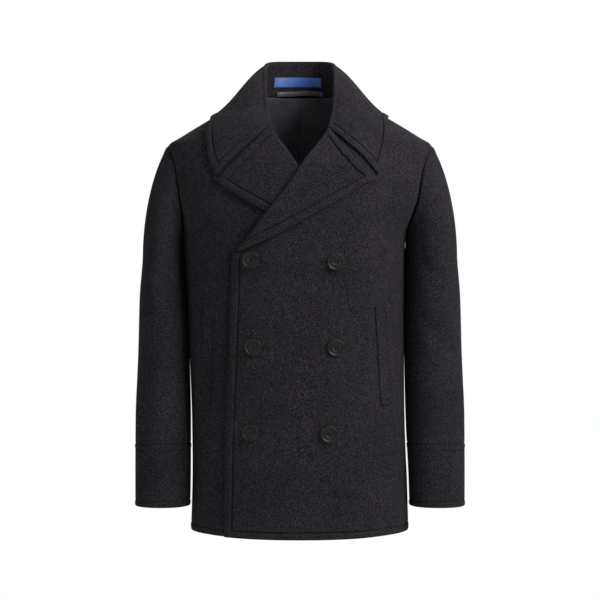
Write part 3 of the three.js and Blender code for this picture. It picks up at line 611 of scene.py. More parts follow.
# Pockets: each welt's ends, its slit, and the stitched lines round it, in the front view
pocketEnds = {1: ((144, -385), (156, -558)), -1: ((166, -385), (174, -557))}
pocketCut = {
    "width": 16, "wall": 2.0, "gap": 0.6, "slitDeep": 2.4, "slitWide": 2.5, "slitAside": 1.6,
    "pointHigh": 20, "pointWide": 16, "pointFoot": 2, "lineDeep": 1.8, "lineWide": 2.2,
    "lineLift": -1.4, "stitch": 0.93,
}


def pocketLines(side):
    # the slit, and then the line beside it and the points over and under it
    (topX, topZ), (lowX, lowZ) = pocketEnds[side]
    half, foot, aside = pocketCut["pointWide"], pocketCut["pointFoot"], pocketCut["slitAside"]
    lines = [[(topX + aside, topZ), (lowX + aside, lowZ)],
             [(topX + half, topZ + foot), (lowX + half, lowZ - foot)]]
    for x, z, way in ((topX, topZ, 1), (lowX, lowZ, -1)):
        base = z + way * foot
        lines.append([(x - half, base), (x, z + way * pocketCut["pointHigh"]), (x + half, base)])
    flipped = [[(side * x, z) for x, z in line] for line in lines]
    return flipped[0], flipped[1:]


def toLine(x, z, line):
    # distance in the front view from places to a line of points
    best = np.full(np.shape(x), 1e9)
    for (ax, az), (bx, bz) in zip(line, line[1:]):
        dx, dz = bx - ax, bz - az
        t = np.clip(((x - ax) * dx + (z - az) * dz) / (dx * dx + dz * dz), 0, 1)
        best = np.minimum(best, np.hypot(x - ax - t * dx, z - az - t * dz))
    return best


def besideRoll(roll, side, z):
    x = curve(roll["z"], roll["x"])
    slope = (x(z + 2) - x(z - 2)) / 4
    return x(z) + side * foldReach * np.hypot(1, slope)


topEdgeX = curve(topEdge["z"], topEdge["x"])
underEdge = curve((hem, breakZ), (underEdgeX, underEdgeX))
fronts = {
    1: {"edge": topEdgeX, "roll": topRoll, "columns": 112, "flat": (0.46, 0.8), "area": 0.27},
    -1: {"edge": underEdge, "roll": underRoll, "columns": 98, "flat": (0.42, 0.8), "area": 0.25},
}

# The armhole's seam, and the hollow in the under front beside the free edge that laps it
armSeam = {"deep": 1.3, "wide": 2.2, "roll": 1.0, "rollAt": 10, "rollWide": 7, "backRadius": 190}
lapShade = {"beside": 3.5, "deep": 2.3, "wide": 5}


def inArmhole(z):
    return (z > armpit) & (z < shoulder)


def seamGroove(away, z):
    # the groove of the armhole's seam
    return armSeam["deep"] * hump(away, armSeam["wide"]) * inArmhole(z)


def frontStart(side, z):
    edge, roll = fronts[side]["edge"], fronts[side]["roll"]
    rolled = besideRoll(roll, side, np.maximum(z, breakZ))
    start = aroundAt(mix(edge(np.minimum(z, breakZ)), rolled, ease(breakZ, breakZ + 6, z)), z)
    rollTop = roll["z"][-1]
    return mix(start, side * neckAround(z), ease(rollTop - 1, rollTop + 5, z))


def panelRows():
    pocketSpots = [(z, 26, 2.4) for _, z in pocketEnds[1]]
    spots = [(hem + topstitch["hem"], 9, 1.3), *pocketSpots, (breakZ, 9, 1.6)]
    turns = np.linspace(180, 0, 56)[1:-1]
    low, high = denser(hem, armpit, 4.2, spots), denser(shoulder, neckTop, 3.2)
    return np.concatenate([low, armhole(turns)[1], high])


def frontColumns(side, z):
    # on each row, the columns' angles and their distances from the row's start
    count = fronts[side]["columns"]
    (topX, topZ), (lowX, lowZ) = pocketLines(side)[0]
    limit = side * (90 - armholeOpen(z, armholeFront))
    angles = np.empty((len(z), count))
    lengths = np.empty_like(angles)
    for r, (low, high) in enumerate(zip(frontStart(side, z), limit)):
        a = np.linspace(low, high, 400)
        points = bare(a, z[r])
        x, d = points[:, 0], runLength(points)
        slitX = np.interp(z[r], [lowZ, topZ], [lowX, topX])
        density = 0.2 + hump(d - topstitch["edge"], 5) + 0.5 * hump(x - slitX, 14) + 0.6 * hump(d[-1] - d, 5)
        if side < 0:
            density += 0.5 * hump(x - topEdgeX(min(z[r], breakZ)) + lapShade["beside"], 9)
        total = gathered(density, d)
        angles[r] = np.interp(np.linspace(0, total[-1], count), total, a)
        lengths[r] = np.interp(angles[r] * side, a * side, d)
    return angles, lengths


def buildFront(side):
    front = fronts[side]
    slit, stitched = pocketLines(side)
    rows = panelRows()
    angles, lengths = frontColumns(side, rows)
    z = np.repeat(rows[:, None], front["columns"], 1)
    x = bare(angles, z)[..., 0]
    cover = coverOf(side, x, z)
    share = (z - hem) / topstitch["hem"]
    if side > 0:
        share = np.minimum(share, np.where(z < breakZ, lengths / topstitch["edge"], 9))
    faced = 1 - ease(*facingEnds, side * x)
    relief = padBand(share, mix(topstitch["thin"], 1, faced) * (1 - ease(breakZ - 12, breakZ, z)))
    relief -= seamGroove(lengths[:, -1:] - lengths, z)
    if side < 0:
        shaded = hump(x - topEdgeX(z) + lapShade["beside"], lapShade["wide"])
        relief -= lapShade["deep"] * shaded * (z < breakZ)
    relief -= pocketCut["slitDeep"] * hump(toLine(x, z, slit), pocketCut["slitWide"])
    for line in stitched:
        relief -= pocketCut["lineDeep"] * hump(toLine(x, z, line), pocketCut["lineWide"])
    outer = formPoint(angles, z, cover + relief)
    inner = formPoint(angles, z, cover - mix(bodyWall, frontWall, faced))
    for face in (outer, inner):
        face[..., 2] += hemLift(angles, z)
        face[(rows <= armpit) | (rows >= shoulder), -1, 1] -= seamGap / 2
    sewn(f"{wearers[side]}Front", f"front_{wearers[side]}", outer, inner,
         flat=front["flat"], area=front["area"], held="hung", rests_on=["collarLeaf"])
    both = withNormals(outer, formNormal(angles, z))
    hemLine = lineAt(both, z - hem, topstitch["hem"], 0)
    if side > 0:
        hemLine = hemLine[lengths[0] > topstitch["edge"]]
        low = rows < breakZ - 4
        edgeLine = lineAt(both[low], lengths[low], topstitch["edge"], 1)
        stitchAlong(edgeLine[edgeLine[:, 2] > hem + topstitch["hem"]])
    stitchAlong(hemLine)
    for line in stitched:
        x, z = np.concatenate([np.linspace(start, end, 40) for start, end in zip(line, line[1:])]).T
        stitchAlong(withNormals(frontPoint(side, x, z, pocketCut["lineLift"]), formNormal(aroundAt(x, z), z)))


def backGrid(rows, across):
    # the angles and heights of a back panel, whose top follows the neck seam
    limit = 90 + armholeOpen(rows, armholeBack)
    around = mix(limit[:, None], 180, across[None, :])
    z = np.repeat(rows[:, None], len(across), 1)
    top = curve(neckSeam["part"][:3], neckSeam["z"][:3])((180 - around) / 90 * 0.5)
    raised = mix(shoulder, top, (z - shoulder) / (neckTop - shoulder))
    return limit, around, np.where(z > shoulder, raised, z)


def buildBack(side):
    rows = panelRows()
    limit, around, z = backGrid(rows, denser(0, 1, 0.022, [(0, 0.05, 0.01), (1, 0.04, 0.01)]))
    toArmhole = np.radians(around - limit[:, None]) * armSeam["backRadius"]
    relief = padBand((z - hem) / topstitch["hem"], topstitch["thin"]) - seamGroove(toArmhole, rows[:, None])
    outer = formPoint(side * around, z, relief)
    inner = formPoint(side * around, z, -bodyWall)
    for face in (outer, inner):
        face[..., 2] += hemLift(around, z)
        face[(rows <= armpit) | (rows >= shoulder), 0, 1] += seamGap / 2
        face[:, -1, 0] = side * seamGap / 2
    sewn(f"{wearers[side]}Back", f"back_{wearers[side]}", outer, inner,
         flat=(0.3, 0.8), area=0.2, held="hung", rests_on=["collarLeaf"])
    stitchAlong(lineAt(withNormals(outer, formNormal(side * around, z)), z - hem, topstitch["hem"], 0))


# Back lining, with a soft pleat down its middle
liningCut = {"low": -660, "ease": 1.8, "pleatDeep": 2.6, "pleatWide": 22, "ripple": 0.9}


def buildLining():
    turns = np.linspace(180, 0, 26)[1:-1]
    low, high = denser(liningCut["low"], armpit, 12), denser(shoulder, neckTop, 3)
    rows = np.concatenate([low, armhole(turns)[1], high])
    half = denser(0.125, 1, 0.025, [(1, 0.06, 0.006)])
    _, around, z = backGrid(rows, np.concatenate([half, half[::-1][1:]]))
    around[:, len(half):] *= -1
    x = bare(around, z)[..., 0]
    pleat = liningCut["pleatDeep"] * np.where(x >= -0.5, np.exp(-np.abs(x) / liningCut["pleatWide"]), 0)
    ripple = liningCut["ripple"] * np.sin(x / 17 + z / 90) * ease(-20, -90, z)
    loose = liningCut["ease"] * ease(-15, -60, z) + np.maximum(ripple, -0.9) + 0.9 * ease(-20, -90, z)
    out = -(bodyWall + seamGap) - loose - pleat * ease(-3, -40, z)
    outer, inner = formPoint(around, z, out), formPoint(around, z, out - liningWall)
    sewn("backLining", "lining_back", outer, inner, satin, "lining", rim=0.3,
         flat=(0.62, 0.68), area=0.33, held="hung", rests_on=["leftBack", "rightBack"])


# Sleeves: the lengthways seam behind, how far they hang from the body, and the cuffs' two stitch rows
sleeveSeam = {"around": 238, "deep": 1.0, "wide": 2.2, "clear": 1.0, "radius": 60, "perDegree": 1.1}
cuffCut = {"topStitch": 11, "lowStitch": 10}
sleeveTurns = np.linspace(0, 360, 97)[:-1]


def besideBody(side):
    # the x of a sleeve's inner side, which hangs close against the body
    heights = np.linspace(sleeveTop, cuffLow, 24)
    around = side * np.linspace(60, 120, 61)
    widest = [np.max(side * formPoint(around, np.full(61, z))[:, 0]) for z in heights]
    return curve(heights, np.array(widest) + sleeveSeam["clear"])


sleeveInner = {side: besideBody(side) for side in wearers}


def sleeveLoop(side, z):
    # the points round a sleeve at one height
    inner, outer, front, back = sleeveInner[side](z), *(sleeveRing[k](z) for k in ("outer", "front", "back"))
    c, s = np.cos(np.radians(sleeveTurns)), np.sin(np.radians(sleeveTurns))
    power = 2 / sleeveSquare
    away = 1 + foldDepth(sleeveFolds, sleeveTurns, z, 1) / sleeveSeam["radius"]
    wide, deep = (outer - inner) / 2, (back - front) / 2
    x = inner + wide + wide * np.sign(c) * np.abs(c) ** power * np.where(c > 0, away, 1)
    y = (back + front) / 2 - deep * np.sign(s) * np.abs(s) ** power * away
    return np.stack([side * x, y, np.full_like(x, z)], -1)


def sleeveCap(side, t):
    # from the armhole (t is 0) to the sleeve's top ring (t is 1)
    holeAround, holeZ = armhole(np.where(sleeveTurns > 180, sleeveTurns - 360, sleeveTurns))
    start = formPoint(side * holeAround, holeZ)
    start[:, 0] += side * seamGap
    end = sleeveLoop(side, sleeveTop)
    c, s = np.cos(np.radians(sleeveTurns)), np.sin(np.radians(sleeveTurns))
    reach = np.linalg.norm(end - start, axis=1, keepdims=True)
    outwards = side * (0.2 + 0.36 * np.sqrt(0.5 + 0.5 * c))
    away = unit(np.stack([outwards, -0.3 * s, -0.9 + 0.1 * c], 1))
    near, far = start + away * 0.2 * reach, end + np.array([0, 0, 1]) * 0.42 * reach
    return bezier(start, near, far, end, t[:, None, None])


def grown(face, side, amount):
    # a sleeve's face moved outwards
    return face + side * np.asarray(amount)[..., None] * gridNormals(face, wrap=True)


def stitchRound(outer, row):
    loop = np.concatenate([outer[row], outer[row][:1]])
    middle = [*loop.mean(0)[:2], loop[0, 2]]
    stitchAlong(withNormals(loop, loop - middle))


def buildSleeve(side):
    cap = sleeveCap(side, np.concatenate([np.linspace(0, 0.1, 7)[:-1], np.linspace(0.1, 1, 46)]))
    stitch = cuffTop + cuffCut["topStitch"]
    z = denser(sleeveTop - 5, cuffTop, -4.5, [(stitch, 8, -1.4)])
    face = np.concatenate([cap, [sleeveLoop(side, h) for h in z]])
    toSeam = np.abs((sleeveTurns - sleeveSeam["around"] + 180) % 360 - 180) * sleeveSeam["perDegree"]
    band = padBand((face[..., 2] - cuffTop) / cuffCut["topStitch"], topstitch["thin"])
    relief = np.where(np.arange(len(face))[:, None] > len(cap), band, 0)
    relief -= sleeveSeam["deep"] * hump(toSeam, sleeveSeam["wide"])
    fromArmhole = lengthAlong(face, 0)
    relief += armSeam["roll"] * hump(fromArmhole - armSeam["rollAt"], armSeam["rollWide"])
    relief -= armSeam["deep"] * hump(fromArmhole, armSeam["wide"])
    outer = grown(face, side, relief)
    sewn(f"{wearers[side]}Sleeve", f"sleeve_{wearers[side]}", outer, grown(face, side, -bodyWall), wrap=True,
         flat=(0.42, 0.56), area=0.2, held="hung", rests_on=[f"{wearers[side]}Front"])
    stitchRound(outer, np.argmin(np.abs(z - stitch)) + len(cap))


def buildCuff(side):
    stitch = cuffLow + cuffCut["lowStitch"]
    z = denser(cuffTop - seamGap, cuffLow, -4, [(stitch, 8, -1.3)])
    face = np.array([sleeveLoop(side, h) for h in z])
    share = (face[..., 2] - cuffLow) / cuffCut["lowStitch"]
    outer = grown(face, side, padBand(share, topstitch["thin"]))
    sewn(f"{wearers[side]}Cuff", f"cuff_{wearers[side]}", outer, grown(face, side, -bodyWall), wrap=True,
         flat=(0.33, 0.1), held="hung", rests_on=[f"{wearers[side]}Sleeve"])
    stitchRound(outer, np.argmin(np.abs(z - stitch)))


# Columns of the collar's stand, and round the fold of the collar or of a lapel
standColumns, foldColumns = 22, 13


def foldSection(side, roll, across, up=0):
    # a lapel's fold at one place of its roll line, or a little up from it
    cover = float(coverOf(side, *roll))
    low, high = cover - frontWall / 2, cover + layerGap + lapelWall / 2
    radius = (high - low) / 2
    face = np.radians(np.linspace(-90, 90, foldColumns))
    d = np.concatenate([[foldReach - 2 * seamGap, radius + 0.6], radius * (1 - np.cos(face))])
    out = np.concatenate([[low, low], (low + high) / 2 + radius * np.sin(face)])
    face = np.concatenate([[-math.pi / 2] * 2, face])
    x, z = roll[0] + across[0] * d, roll[1] + up + across[1] * d
    around = aroundAt(x, z)
    points = formPoint(around, z, out)
    away = unit(formPoint(aroundAt(x + across[0], z + across[1]), z + across[1]) - formPoint(around, z))
    facing = unit(formNormal(around, z) * np.sin(face)[:, None] - away * np.cos(face)[:, None])
    return points, facing, x, z


def rollFrame(side, part):
    # a place on the roll line, and the way across it to the lapel
    roll = fronts[side]["roll"]
    z = mix(roll["z"][0] + lapelStart, roll["z"][-1], part)
    at = curve(roll["z"], roll["x"])
    slope = float(at(z + 2) - at(z - 2)) / 4
    size = math.hypot(1, slope)
    return (float(at(z)), z), (side / size, -side * slope / size)


lapels = {
    1: {"edge": topLapelEdge, "bow": 12, "area": 0.025},
    -1: {"edge": underLapelEdge, "bow": 1, "area": 0.028},
}


def buildLapel(side):
    lapel = lapels[side]
    edgeX, edgeZ = (curve(lapel["edge"]["part"], lapel["edge"][k]) for k in ("x", "z"))
    middle, facing = [], []
    parts = denser(0, 1, 0.013, [(1, 0.03, 0.005), (0.944, 0.02, 0.0024)])
    for part in parts:
        points, normals, x, z = foldSection(side, *rollFrame(side, part))
        high = float(ease(0.6, 1, part))
        t = edgeShares(np.array([(x[-1], z[-1], 0), (edgeX(part), edgeZ(part), 0)]))
        px = mix(x[-1], edgeX(part), t)
        pz = mix(z[-1], edgeZ(part), t) - lapel["bow"] * np.sin(np.pi * t) * high - seamGap * high
        middle.append(np.concatenate([points, frontPoint(side, px, pz, layerGap + lapelWall / 2)]))
        facing.append(np.concatenate([normals, formNormal(aroundAt(px, pz), pz)]))
    folded = len(points)
    middle, facing = np.array(middle), np.array(facing)
    toEdge, toNotch = lengthAlong(middle, 1, True), lengthAlong(middle, 0, True)
    relief = padBand(np.minimum(toEdge, toNotch) / topstitch["edge"], ease(0, 24, lengthAlong(middle, 0)))
    relief[:, :folded] = 0
    outer = middle + facing * (lapelWall / 2 + relief)[..., None]
    sewn(f"{wearers[side]}Lapel", f"lapel_{wearers[side]}", outer, middle - facing * lapelWall / 2, rim=1.4,
         flat=(0.25, 0.28), area=lapel["area"], held="folded", rests_on=[f"{wearers[side]}Front"])
    both = withNormals(outer, facing)[:, folded:]
    stitchAlong(lineAt(both[parts > 0.12], toEdge[parts > 0.12][:, folded:], topstitch["edge"], 1)[:-12])
    run = lineAt(both, toNotch[:, folded:], topstitch["edge"], 0)
    stitchAlong(run[toEdge[-1, folded:][: len(run)] > topstitch["edge"]])


def through(points):
    # a smooth line through points, by place among them
    points = np.asarray(points)
    padded = np.concatenate([[2 * points[0] - points[1]], points, [2 * points[-1] - points[-2]]])

    def valueAt(place):
        i = min(int(place), len(points) - 2)
        a, b, c, d = padded[i : i + 4]
        return smooth(place - i, b, c, (c - a) / 2, (d - b) / 2)

    return valueAt


def onRidge(part):
    # 1 where the collar crosses the top of the shoulder, and it lies flattest
    return hump(part - 0.48, 0.12)


def collarLift(part):
    return collarWall / 2 + collarGap - ridgeGap * onRidge(part)


def collarGuides():
    # lines along the collar: its seam, its roll, its outer edge, and the way its fold faces
    lines = {"seam": [], "roll": [], "outer": [], "facing": []}
    for k in range(-10, 11):
        part, side, row = abs(k) / 10, -1 if k < 0 else 1, abs(k)
        around, z = side * collarEdge[wearers[side]][row], collarEdge["z"][row]
        x = float(bare(around, z)[0])
        lift = (float(coverOf(side, x, z)) if abs(around) < 90 else 0) + collarLift(part)
        outer = formPoint(around, z, lift)
        if row == 10:
            points, facing, _, _ = foldSection(side, *rollFrame(side, 1), 1.2)
            values = points[0], points[2 + foldColumns // 2], outer, facing[-1]
        else:
            around, z = side * float(seamAround(part)), float(seamZ(part))
            normal = formNormal(around, z)
            rise = seamGap + 2.2 * abs(normal[2]) + standRise * float(ease(0.55, 0.75, part))
            base = formPoint(around, z, -bodyWall / 2) + [0, 0, rise]
            base = base - normal * standSetIn * float(ease(0.55, 0.8, part))
            flip = [side, 1, 1]
            roll = np.array([collarRoll[key][row] for key in ("x", "y", "z")]) * flip
            face = np.array([collarRoll[key][row] for key in ("faceX", "faceY", "faceZ")]) * flip
            values = base, roll, outer, unit(face)
        for key, value in zip(lines, values):
            lines[key].append(value)
    return {key: through(value) for key, value in lines.items()}


guides = collarGuides()


# The curve of the collar's fall: its two handles as shares of its span, and their share at the ends
collarFall = {"near": (0.36, 0.36, 0.16), "far": (0.45, 0.45, 0.3), "atEnds": 0.33, "clearBy": 0.16}


def collarSection(place):
    seam, roll, outer, facing = (guides[k](place) for k in ("seam", "roll", "outer", "facing"))
    along = unit(guides["roll"](min(place + 0.05, 20)) - guides["roll"](max(place - 0.05, 0)))
    facing = unit(facing - along * facing.dot(along))
    rise = unit(np.cross(along, facing))
    part, side = abs(place - 10) / 10, -1 if place < 10 else 1
    centre = roll - rise * foldRadius
    standTop, fallTop = centre - facing * foldRadius, centre + facing * foldRadius
    stand = seam + np.linspace(0, 0.96, standColumns)[:, None] * (standTop - seam)
    turn = np.radians(np.linspace(-90, 90, foldColumns))[:, None]
    fold = centre + facing * foldRadius * np.sin(turn) + rise * foldRadius * np.cos(turn)
    flat = float(ease(0.75, 1, part))
    span = outer - fallTop
    near = fallTop + span * mix(np.array(collarFall["near"]), collarFall["atEnds"], flat)
    far = outer - span * mix(np.array(collarFall["far"]), collarFall["atEnds"], flat)
    share = edgeShares(bezier(fallTop, near, far, outer, np.linspace(0, 1, 200)[:, None]))
    fall = bezier(fallTop, near, far, outer, share[:, None])
    x, y, z = fall.T
    cover = np.where(y < ring["side"](z), coverOf(side, x, z) + drape(aroundAt(x, z), z), 0)
    pushed = pushOut(fall, (cover + collarLift(part)) * ease(0, collarFall["clearBy"], share))
    return np.concatenate([stand, fold, np.where(fall[:, 2:] < 5, pushed, fall)])


def buildCollar():
    places = denser(0, 20, 0.085, [(0, 0.7, 0.04), (20, 0.7, 0.04)])
    middle = np.array([collarSection(place) for place in places])
    normals = gridNormals(middle)
    if normals[len(places) // 2, -1, 1] < 0:
        normals = -normals
    bent = standColumns + foldColumns
    thick = np.full(middle.shape[1], collarWall)
    thick[: standColumns + 2] = standWall
    toEdge = lengthAlong(middle, 1, True)
    toEnds = lengthAlong(middle, 0), lengthAlong(middle, 0, True)
    relief = padBand(np.minimum(toEdge, np.minimum(*toEnds)) / topstitch["edge"])
    relief *= (1 - 0.7 * onRidge(np.abs(places - 10) / 10))[:, None]
    relief[:, :bent] = 0
    outer = middle + normals * (thick / 2 + relief)[..., None]
    sewn("collarLeaf", "collar", outer, middle - normals * (thick / 2)[None, :, None], rim=1.3,
         flat=(0.62, 0.21), area=0.11, held="folded", rests_on=["leftBack", "rightBack"])
    both = withNormals(outer, normals)[:, bent:]
    run = lineAt(both, toEdge[:, bent:], topstitch["edge"], 1)
    stitchAlong(run[np.minimum(*toEnds)[:, -4] > topstitch["edge"]])
    for end, toEnd in zip((0, -1), toEnds):
        run = lineAt(both, toEnd[:, bent:], topstitch["edge"], 0)
        stitchAlong(run[toEdge[end, bent:][: len(run)] > topstitch["edge"]])


def standFrame(x):
    # an x, and the foot, top and inward way of the collar's stand there
    low, high = 5.0, 15.0
    for _ in range(24):
        half = (low + high) / 2
        low, high = (half, high) if guides["seam"](half)[0] < x else (low, half)
    section = collarSection(low)
    foot, up = section[0], unit(section[standColumns - 2] - section[0])
    inward = unit(np.cross(up, guides["seam"](low + 0.1) - guides["seam"](low - 0.1)))
    return x, foot, up, -inward if inward[1] > 0 else inward


def onStand(frame, height, raised, off):
    # a place on the stand: raised gives its lift along it and its bow off it
    x, foot, up, inward = frame
    lift, bow = raised(x, height)
    return foot + up * (height + lift) + inward * (standWall / 2 + bow + off)


neckStrip = {
    "left": -51.5, "right": 42.5, "low": 16.5, "high": 35,
    "wall": 0.7, "gap": 0.7, "arch": 1.8, "seam": 1.2,
}
hangingLoop = {
    "left": -45, "right": 45, "low": 1.5, "high": 10.5,
    "wall": 1.4, "gap": 0.4, "bow": 4, "wave": 1.0,
}


def stripRaised(x, height):
    middle = (neckStrip["left"] + neckStrip["right"]) / 2
    reach = (neckStrip["right"] - neckStrip["left"]) / 2
    arch = neckStrip["arch"] * (1 - ((x - middle) / reach) ** 2)
    corner = 0.35 * (1 - abs((height - (neckStrip["low"] + neckStrip["high"]) / 2) / 9) ** 4)
    return arch, neckStrip["gap"] + corner


def loopRaised(x, height):
    low, high, reach = (hangingLoop[key] for key in ("low", "high", "right"))
    bow = hangingLoop["gap"] + hangingLoop["bow"] * math.sqrt(max(0, 1 - (x / reach) ** 2))
    roll = 0.8 * math.sin(math.pi * (height - low) / (high - low))
    return hangingLoop["wave"] * math.sin(x / 13 + 0.6) - 1.6 * hump(abs(x) - reach, 7), bow + roll


def buildStrip(name, node, material, slot, cut, counts, raised, flat):
    frames = [standFrame(x) for x in np.linspace(cut["left"], cut["right"], counts[0])]
    heights = np.linspace(cut["low"], cut["high"], counts[1])
    outer, inner = (
        np.array([[onStand(frame, height, raised, off) for frame in frames] for height in heights])
        for off in (cut["wall"], 0)
    )
    sewn(name, node, outer, inner, material, slot, rim=0.25, flat=flat, held="laid", rests_on=["collarLeaf"])


def buildInside():
    buildStrip("neckStrip", "neck_label", ribbon, "label", neckStrip, (46, 14), stripRaised, (0.089, 0.018))
    buildStrip("hangingLoop", "hanger_loop", tape, "loop", hangingLoop, (60, 10), loopRaised, (0.095, 0.01))
    frames = [standFrame(x) for x in np.linspace(neckStrip["left"] + 1, neckStrip["right"] - 1, 30)]
    for height in (neckStrip["low"] + neckStrip["seam"], neckStrip["high"] - neckStrip["seam"]):
        points = [onStand(frame, height, stripRaised, neckStrip["wall"]) for frame in frames]
        stitchAlong(withNormals(points, [frame[3] for frame in frames]), 0.05)


def buildWelt(side):
    (topX, topZ), (lowX, lowZ) = pocketEnds[side]
    rows = denser(0, 1, 0.016, [(0, 0.02, 0.006), (1, 0.02, 0.006)])
    cols = denser(0, 1, 0.07, [(0, 0.1, 0.04)])
    t, u = rows[:, None], cols[None, :]
    x = side * (mix(topX, lowX, t) - pocketCut["width"] * u)
    z = mix(topZ, lowZ, t) + 0 * u
    lip = 0.9 * hump(u, 0.12) - 0.7 * hump(u - pocketCut["stitch"], 0.06)
    outer = frontPoint(side, x, z, pocketCut["gap"] + pocketCut["wall"] + lip)
    inner = frontPoint(side, x, z, pocketCut["gap"])
    sewn(f"{wearers[side]}Welt", f"pocket_welt_{wearers[side]}", outer, inner, rim=0.9,
         flat=(0.018, 0.175), held="laid", rests_on=[f"{wearers[side]}Front"])
    both = withNormals(outer, formNormal(aroundAt(x, z), z))
    stitchAlong(both[:, np.argmin(np.abs(cols - pocketCut["stitch"]))])
    for row in (1, -2):
        stitchAlong(both[row])


# Buttons, as the front view shows them, with how far each is turned
buttonCut = {
    "radius": 15.0, "high": 4.0, "gap": 0.8, "hole": 1.15, "holeOut": 2.7, "sides": 64,
    "thread": 0.42, "threadDown": 1.75, "threadApart": 0.3, "shank": 2.2,
}
buttons = {
    "leftTopButton": ("button_left_top", 59, -309, 12),
    "leftMiddleButton": ("button_left_middle", 60, -457, 40),
    "leftBottomButton": ("button_left_bottom", 49, -606, 67),
    "rightTopButton": ("button_right_top", -82, -306, 31),
    "rightMiddleButton": ("button_right_middle", -80, -456, 55),
    "rightBottomButton": ("button_right_bottom", -84, -604, 5),
}


def turnedSolid(profile, sides, base=(0, 0, 0), axes=np.eye(3)):
    # a solid of (radius, height) pairs turned round the last of its axes
    turns = 2 * math.pi * np.arange(sides) / sides
    ways = [math.cos(turn) * axes[0] + math.sin(turn) * axes[1] for turn in turns]
    points = [base + r * way + h * axes[2] for r, h in profile for way in ways]
    last = (len(profile) - 1) * sides
    faces = [(k + i, k + (i + 1) % sides, k + sides + (i + 1) % sides, k + sides + i)
             for k in range(0, last, sides) for i in range(sides)]
    return points, faces + [tuple(range(sides))[::-1], tuple(range(last, last + sides))]


def buttonMesh():
    r, h = buttonCut["radius"], buttonCut["high"]
    profile = [(r - 4, 0), (r - 1.6, 0.5), (r - 0.3, 1.5), (r, 2.2), (r - 0.2, h - 0.7), (r - 0.9, h - 0.1),
               (r - 1.7, h), (r - 2.5, h - 0.4), (r - 3.2, h - 1.2), (r - 4.4, h - 1.45), (r - 7.5, h - 1.35),
               (r - 8.3, h - 1.2), (6.2, h - 1.25), (5.4, h - 1.7), (0.4, h - 1.9)]
    body = meshPiece("buttonBlank", *turnedSolid(profile, buttonCut["sides"]), horn, "horn")
    for k in range(4):
        turn = math.radians(45 + 90 * k)
        middle = buttonCut["holeOut"] * np.array([math.cos(turn), math.sin(turn), 0])
        pin = turnedSolid([(buttonCut["hole"], -1), (buttonCut["hole"], h + 1)], 20, middle)
        cutter = meshPiece("buttonPin", *pin, horn, "horn")
        cut = body.modifiers.new("hole", "BOOLEAN")
        cut.operation, cut.object, cut.solver = "DIFFERENCE", cutter, "EXACT"
        drilled = bpy.data.meshes.new_from_object(body.evaluated_get(bpy.context.evaluated_depsgraph_get()))
        body.modifiers.clear()
        body.data = drilled
        bpy.data.objects.remove(cutter)
    bpy.data.objects.remove(body)
    return drilled


def bar(start, end, radius, sides=5):
    # a thread from one place to another, with rounded ends
    axis, length = unit(end - start), np.linalg.norm(end - start)
    side = unit(np.cross(axis, [0.3, 0.5, 0.81]))
    ends = ((0, 0.35), (0.12, 0.85), (0.5, 1), (0.88, 0.85), (1, 0.35))
    profile = [(share * radius, along * length) for along, share in ends]
    return turnedSolid(profile, sides, start, (side, np.cross(axis, side), axis))


def threadPiece(name, parts):
    points, faces = [], []
    for partPoints, partFaces in parts:
        base = len(points)
        points.extend(partPoints)
        faces.extend(tuple(base + i for i in face) for face in partFaces)
    meshPiece(name, points, faces, thread, "wool")


def buildButtons():
    shape = buttonMesh()
    threads = []
    for name, (node, x, z, turn) in buttons.items():
        place = frontPoint(1, x, z, buttonCut["gap"])
        normal = formNormal(aroundAt(x, z), z)
        spin = Matrix.Rotation(math.radians(turn), 3, "Z")
        stand = Vector((0, 0, 1)).rotation_difference(Vector(normal)).to_matrix() @ spin
        across, up, out = np.array(stand.transposed())
        mesh = shape.copy()
        mesh.name = name
        mesh.transform(Matrix.Translation(Vector(place * metre)) @ stand.to_4x4())
        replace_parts(coatPiece(name, mesh), node)
        hole = buttonCut["holeOut"] * 0.707
        top = place + (buttonCut["high"] - buttonCut["threadDown"]) * out
        for dx in (-hole, hole):
            for side in (-buttonCut["threadApart"], buttonCut["threadApart"]):
                start, end = (top + (dx + side) * across + dy * up for dy in (-hole, hole))
                threads.append(bar(start, end, buttonCut["thread"], 6))
        threads.append(bar(place - out * buttonCut["gap"], place + out * 0.2, buttonCut["shank"], 10))
    threadPiece("buttonThreads", threads)


# Worked buttonholes, from end to end in the front view, with how high the cloth lies there
onLapel = layerGap + lapelWall
buttonholes = [
    (1, (-84, -306.5), (-52, -307.5), 0.0),
    (1, (-82, -456.5), (-50, -457.5), 0.0),
    (1, (-86, -604.5), (-54, -605.5), 0.0),
    (1, (84, -162), (62, -142), onLapel),
    (-1, (-99, -158), (-68, -139), onLapel),
]
holeStitch = {"pitch": 0.85, "near": 0.25, "far": 1.5, "lift": 0.12, "thread": 0.42}


def buildButtonholes():
    parts = []
    for side, (ax, az), (bx, bz), high in buttonholes:
        length = math.hypot(bx - ax, bz - az)
        ux, uz = (bx - ax) / length, (bz - az) / length
        for k in range(int(length / holeStitch["pitch"])):
            s = holeStitch["pitch"] * k + 0.4
            for way in (-1, 1):
                places = [(ax + ux * s - uz * d, az + uz * s + ux * d)
                          for d in (way * holeStitch["near"], way * holeStitch["far"])]
                start, end = (frontPoint(side, x, z, high + holeStitch["lift"]) for x, z in places)
                parts.append(bar(start, end, holeStitch["thread"]))
    threadPiece("buttonholeStitches", parts)


def buildStitching():
    parts = []
    for points in stitchRuns:
        length = runLength(points)
        for first in np.arange(1.0, length[-1] - topstitch["long"], topstitch["pitch"]):
            start, end = (np.array([np.interp(s, length, points[:, k]) for k in range(3)])
                          for s in (first, first + topstitch["long"]))
            parts.append(bar(start, end, topstitch["thread"]))
    threadPiece("topstitching", parts)
    print("stitches", len(parts))


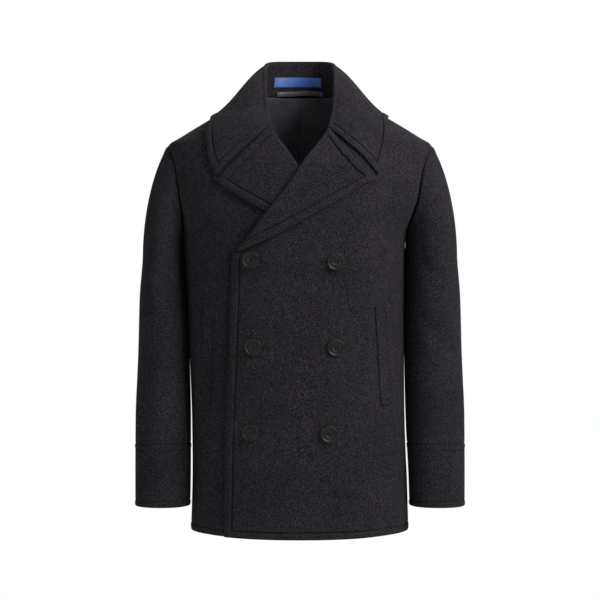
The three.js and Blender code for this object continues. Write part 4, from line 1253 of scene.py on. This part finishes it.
buildCollar()
for side in wearers:
    buildBack(side)
    buildFront(side)
    buildSleeve(side)
    buildCuff(side)
    buildLapel(side)
    buildWelt(side)
print("panels ready")
buildLining()
buildInside()
buildButtons()
buildButtonholes()
buildStitching()
print("small pieces ready")

# Studio: a pale floor, even white surroundings and soft light, each as its place, size, power and target
studio = {
    "floorZ": -1.35, "floorSize": 24, "around": 0.26,
    "lens": 100, "sensor": 36, "eye": (0, -3.09, -0.375),
}
lights = {
    "key": ((1.85, -1.45, 1.25), 1.5, 118, (0, -0.1, -0.12)),
    "fill": ((-2.8, -1.2, 0.8), 2.0, 28, (0, -0.09, -0.35)),
    "behind": ((0.5, 0.9, 2.4), 1.6, 66, (0, -0.09, -0.35)),
}


def paleMaterial():
    # matt white that the camera sees as bright as the surroundings
    material, tree, matt = newMaterial("paleFloor")
    feed(tree, matt, {"Base Color": (0.9, 0.9, 0.9, 1), "Roughness": 0.9})
    glow = addNode(tree, "ShaderNodeEmission").outputs[0]
    seen = addNode(tree, "ShaderNodeLightPath").outputs["Is Camera Ray"]
    both = addNode(tree, "ShaderNodeMixShader", {0: seen, 1: matt.outputs[0], 2: glow}).outputs[0]
    feed(tree, tree.nodes["Material Output"], {"Surface": both})
    return material


def areaLight(name, place, size, power, target):
    light = bpy.data.lights.new(name, "AREA")
    light.shape, light.size, light.energy = "DISK", size, power
    lamp = addObject(name, light)
    lamp.location = place
    lamp.rotation_euler = (Vector(target) - Vector(place)).to_track_quat("-Z", "Y").to_euler()


def buildStudio():
    half, z = studio["floorSize"] / 2, studio["floorZ"]
    mesh = bpy.data.meshes.new("floor")
    corners = [(-half, -half, z), (half, -half, z), (half, half, z), (-half, half, z)]
    mesh.from_pydata(corners, [], [(0, 1, 2, 3)])
    mesh.materials.append(paleMaterial())
    addObject("floor", mesh)
    world = bpy.data.worlds.new("studio")
    world.use_nodes = True
    tree = world.node_tree
    seen = addNode(tree, "ShaderNodeLightPath").outputs["Is Camera Ray"]
    strength = spread(tree, seen, 0, 1, studio["around"], 1)
    feed(tree, tree.nodes["Background"], {"Color": (1, 1, 1, 1), "Strength": strength})
    bpy.context.scene.world = world
    for name, values in lights.items():
        areaLight(name, *values)
    bpy.context.scene.view_settings.view_transform = "Standard"
    camera = bpy.data.cameras.new("view")
    camera.lens = studio["lens"]
    camera.sensor_width = studio["sensor"]
    camera.clip_end = 60
    eye = addObject("view", camera)
    eye.location = studio["eye"]
    eye.rotation_euler = (math.pi / 2, 0, 0)
    bpy.context.scene.camera = eye


buildStudio()
print("studio ready")
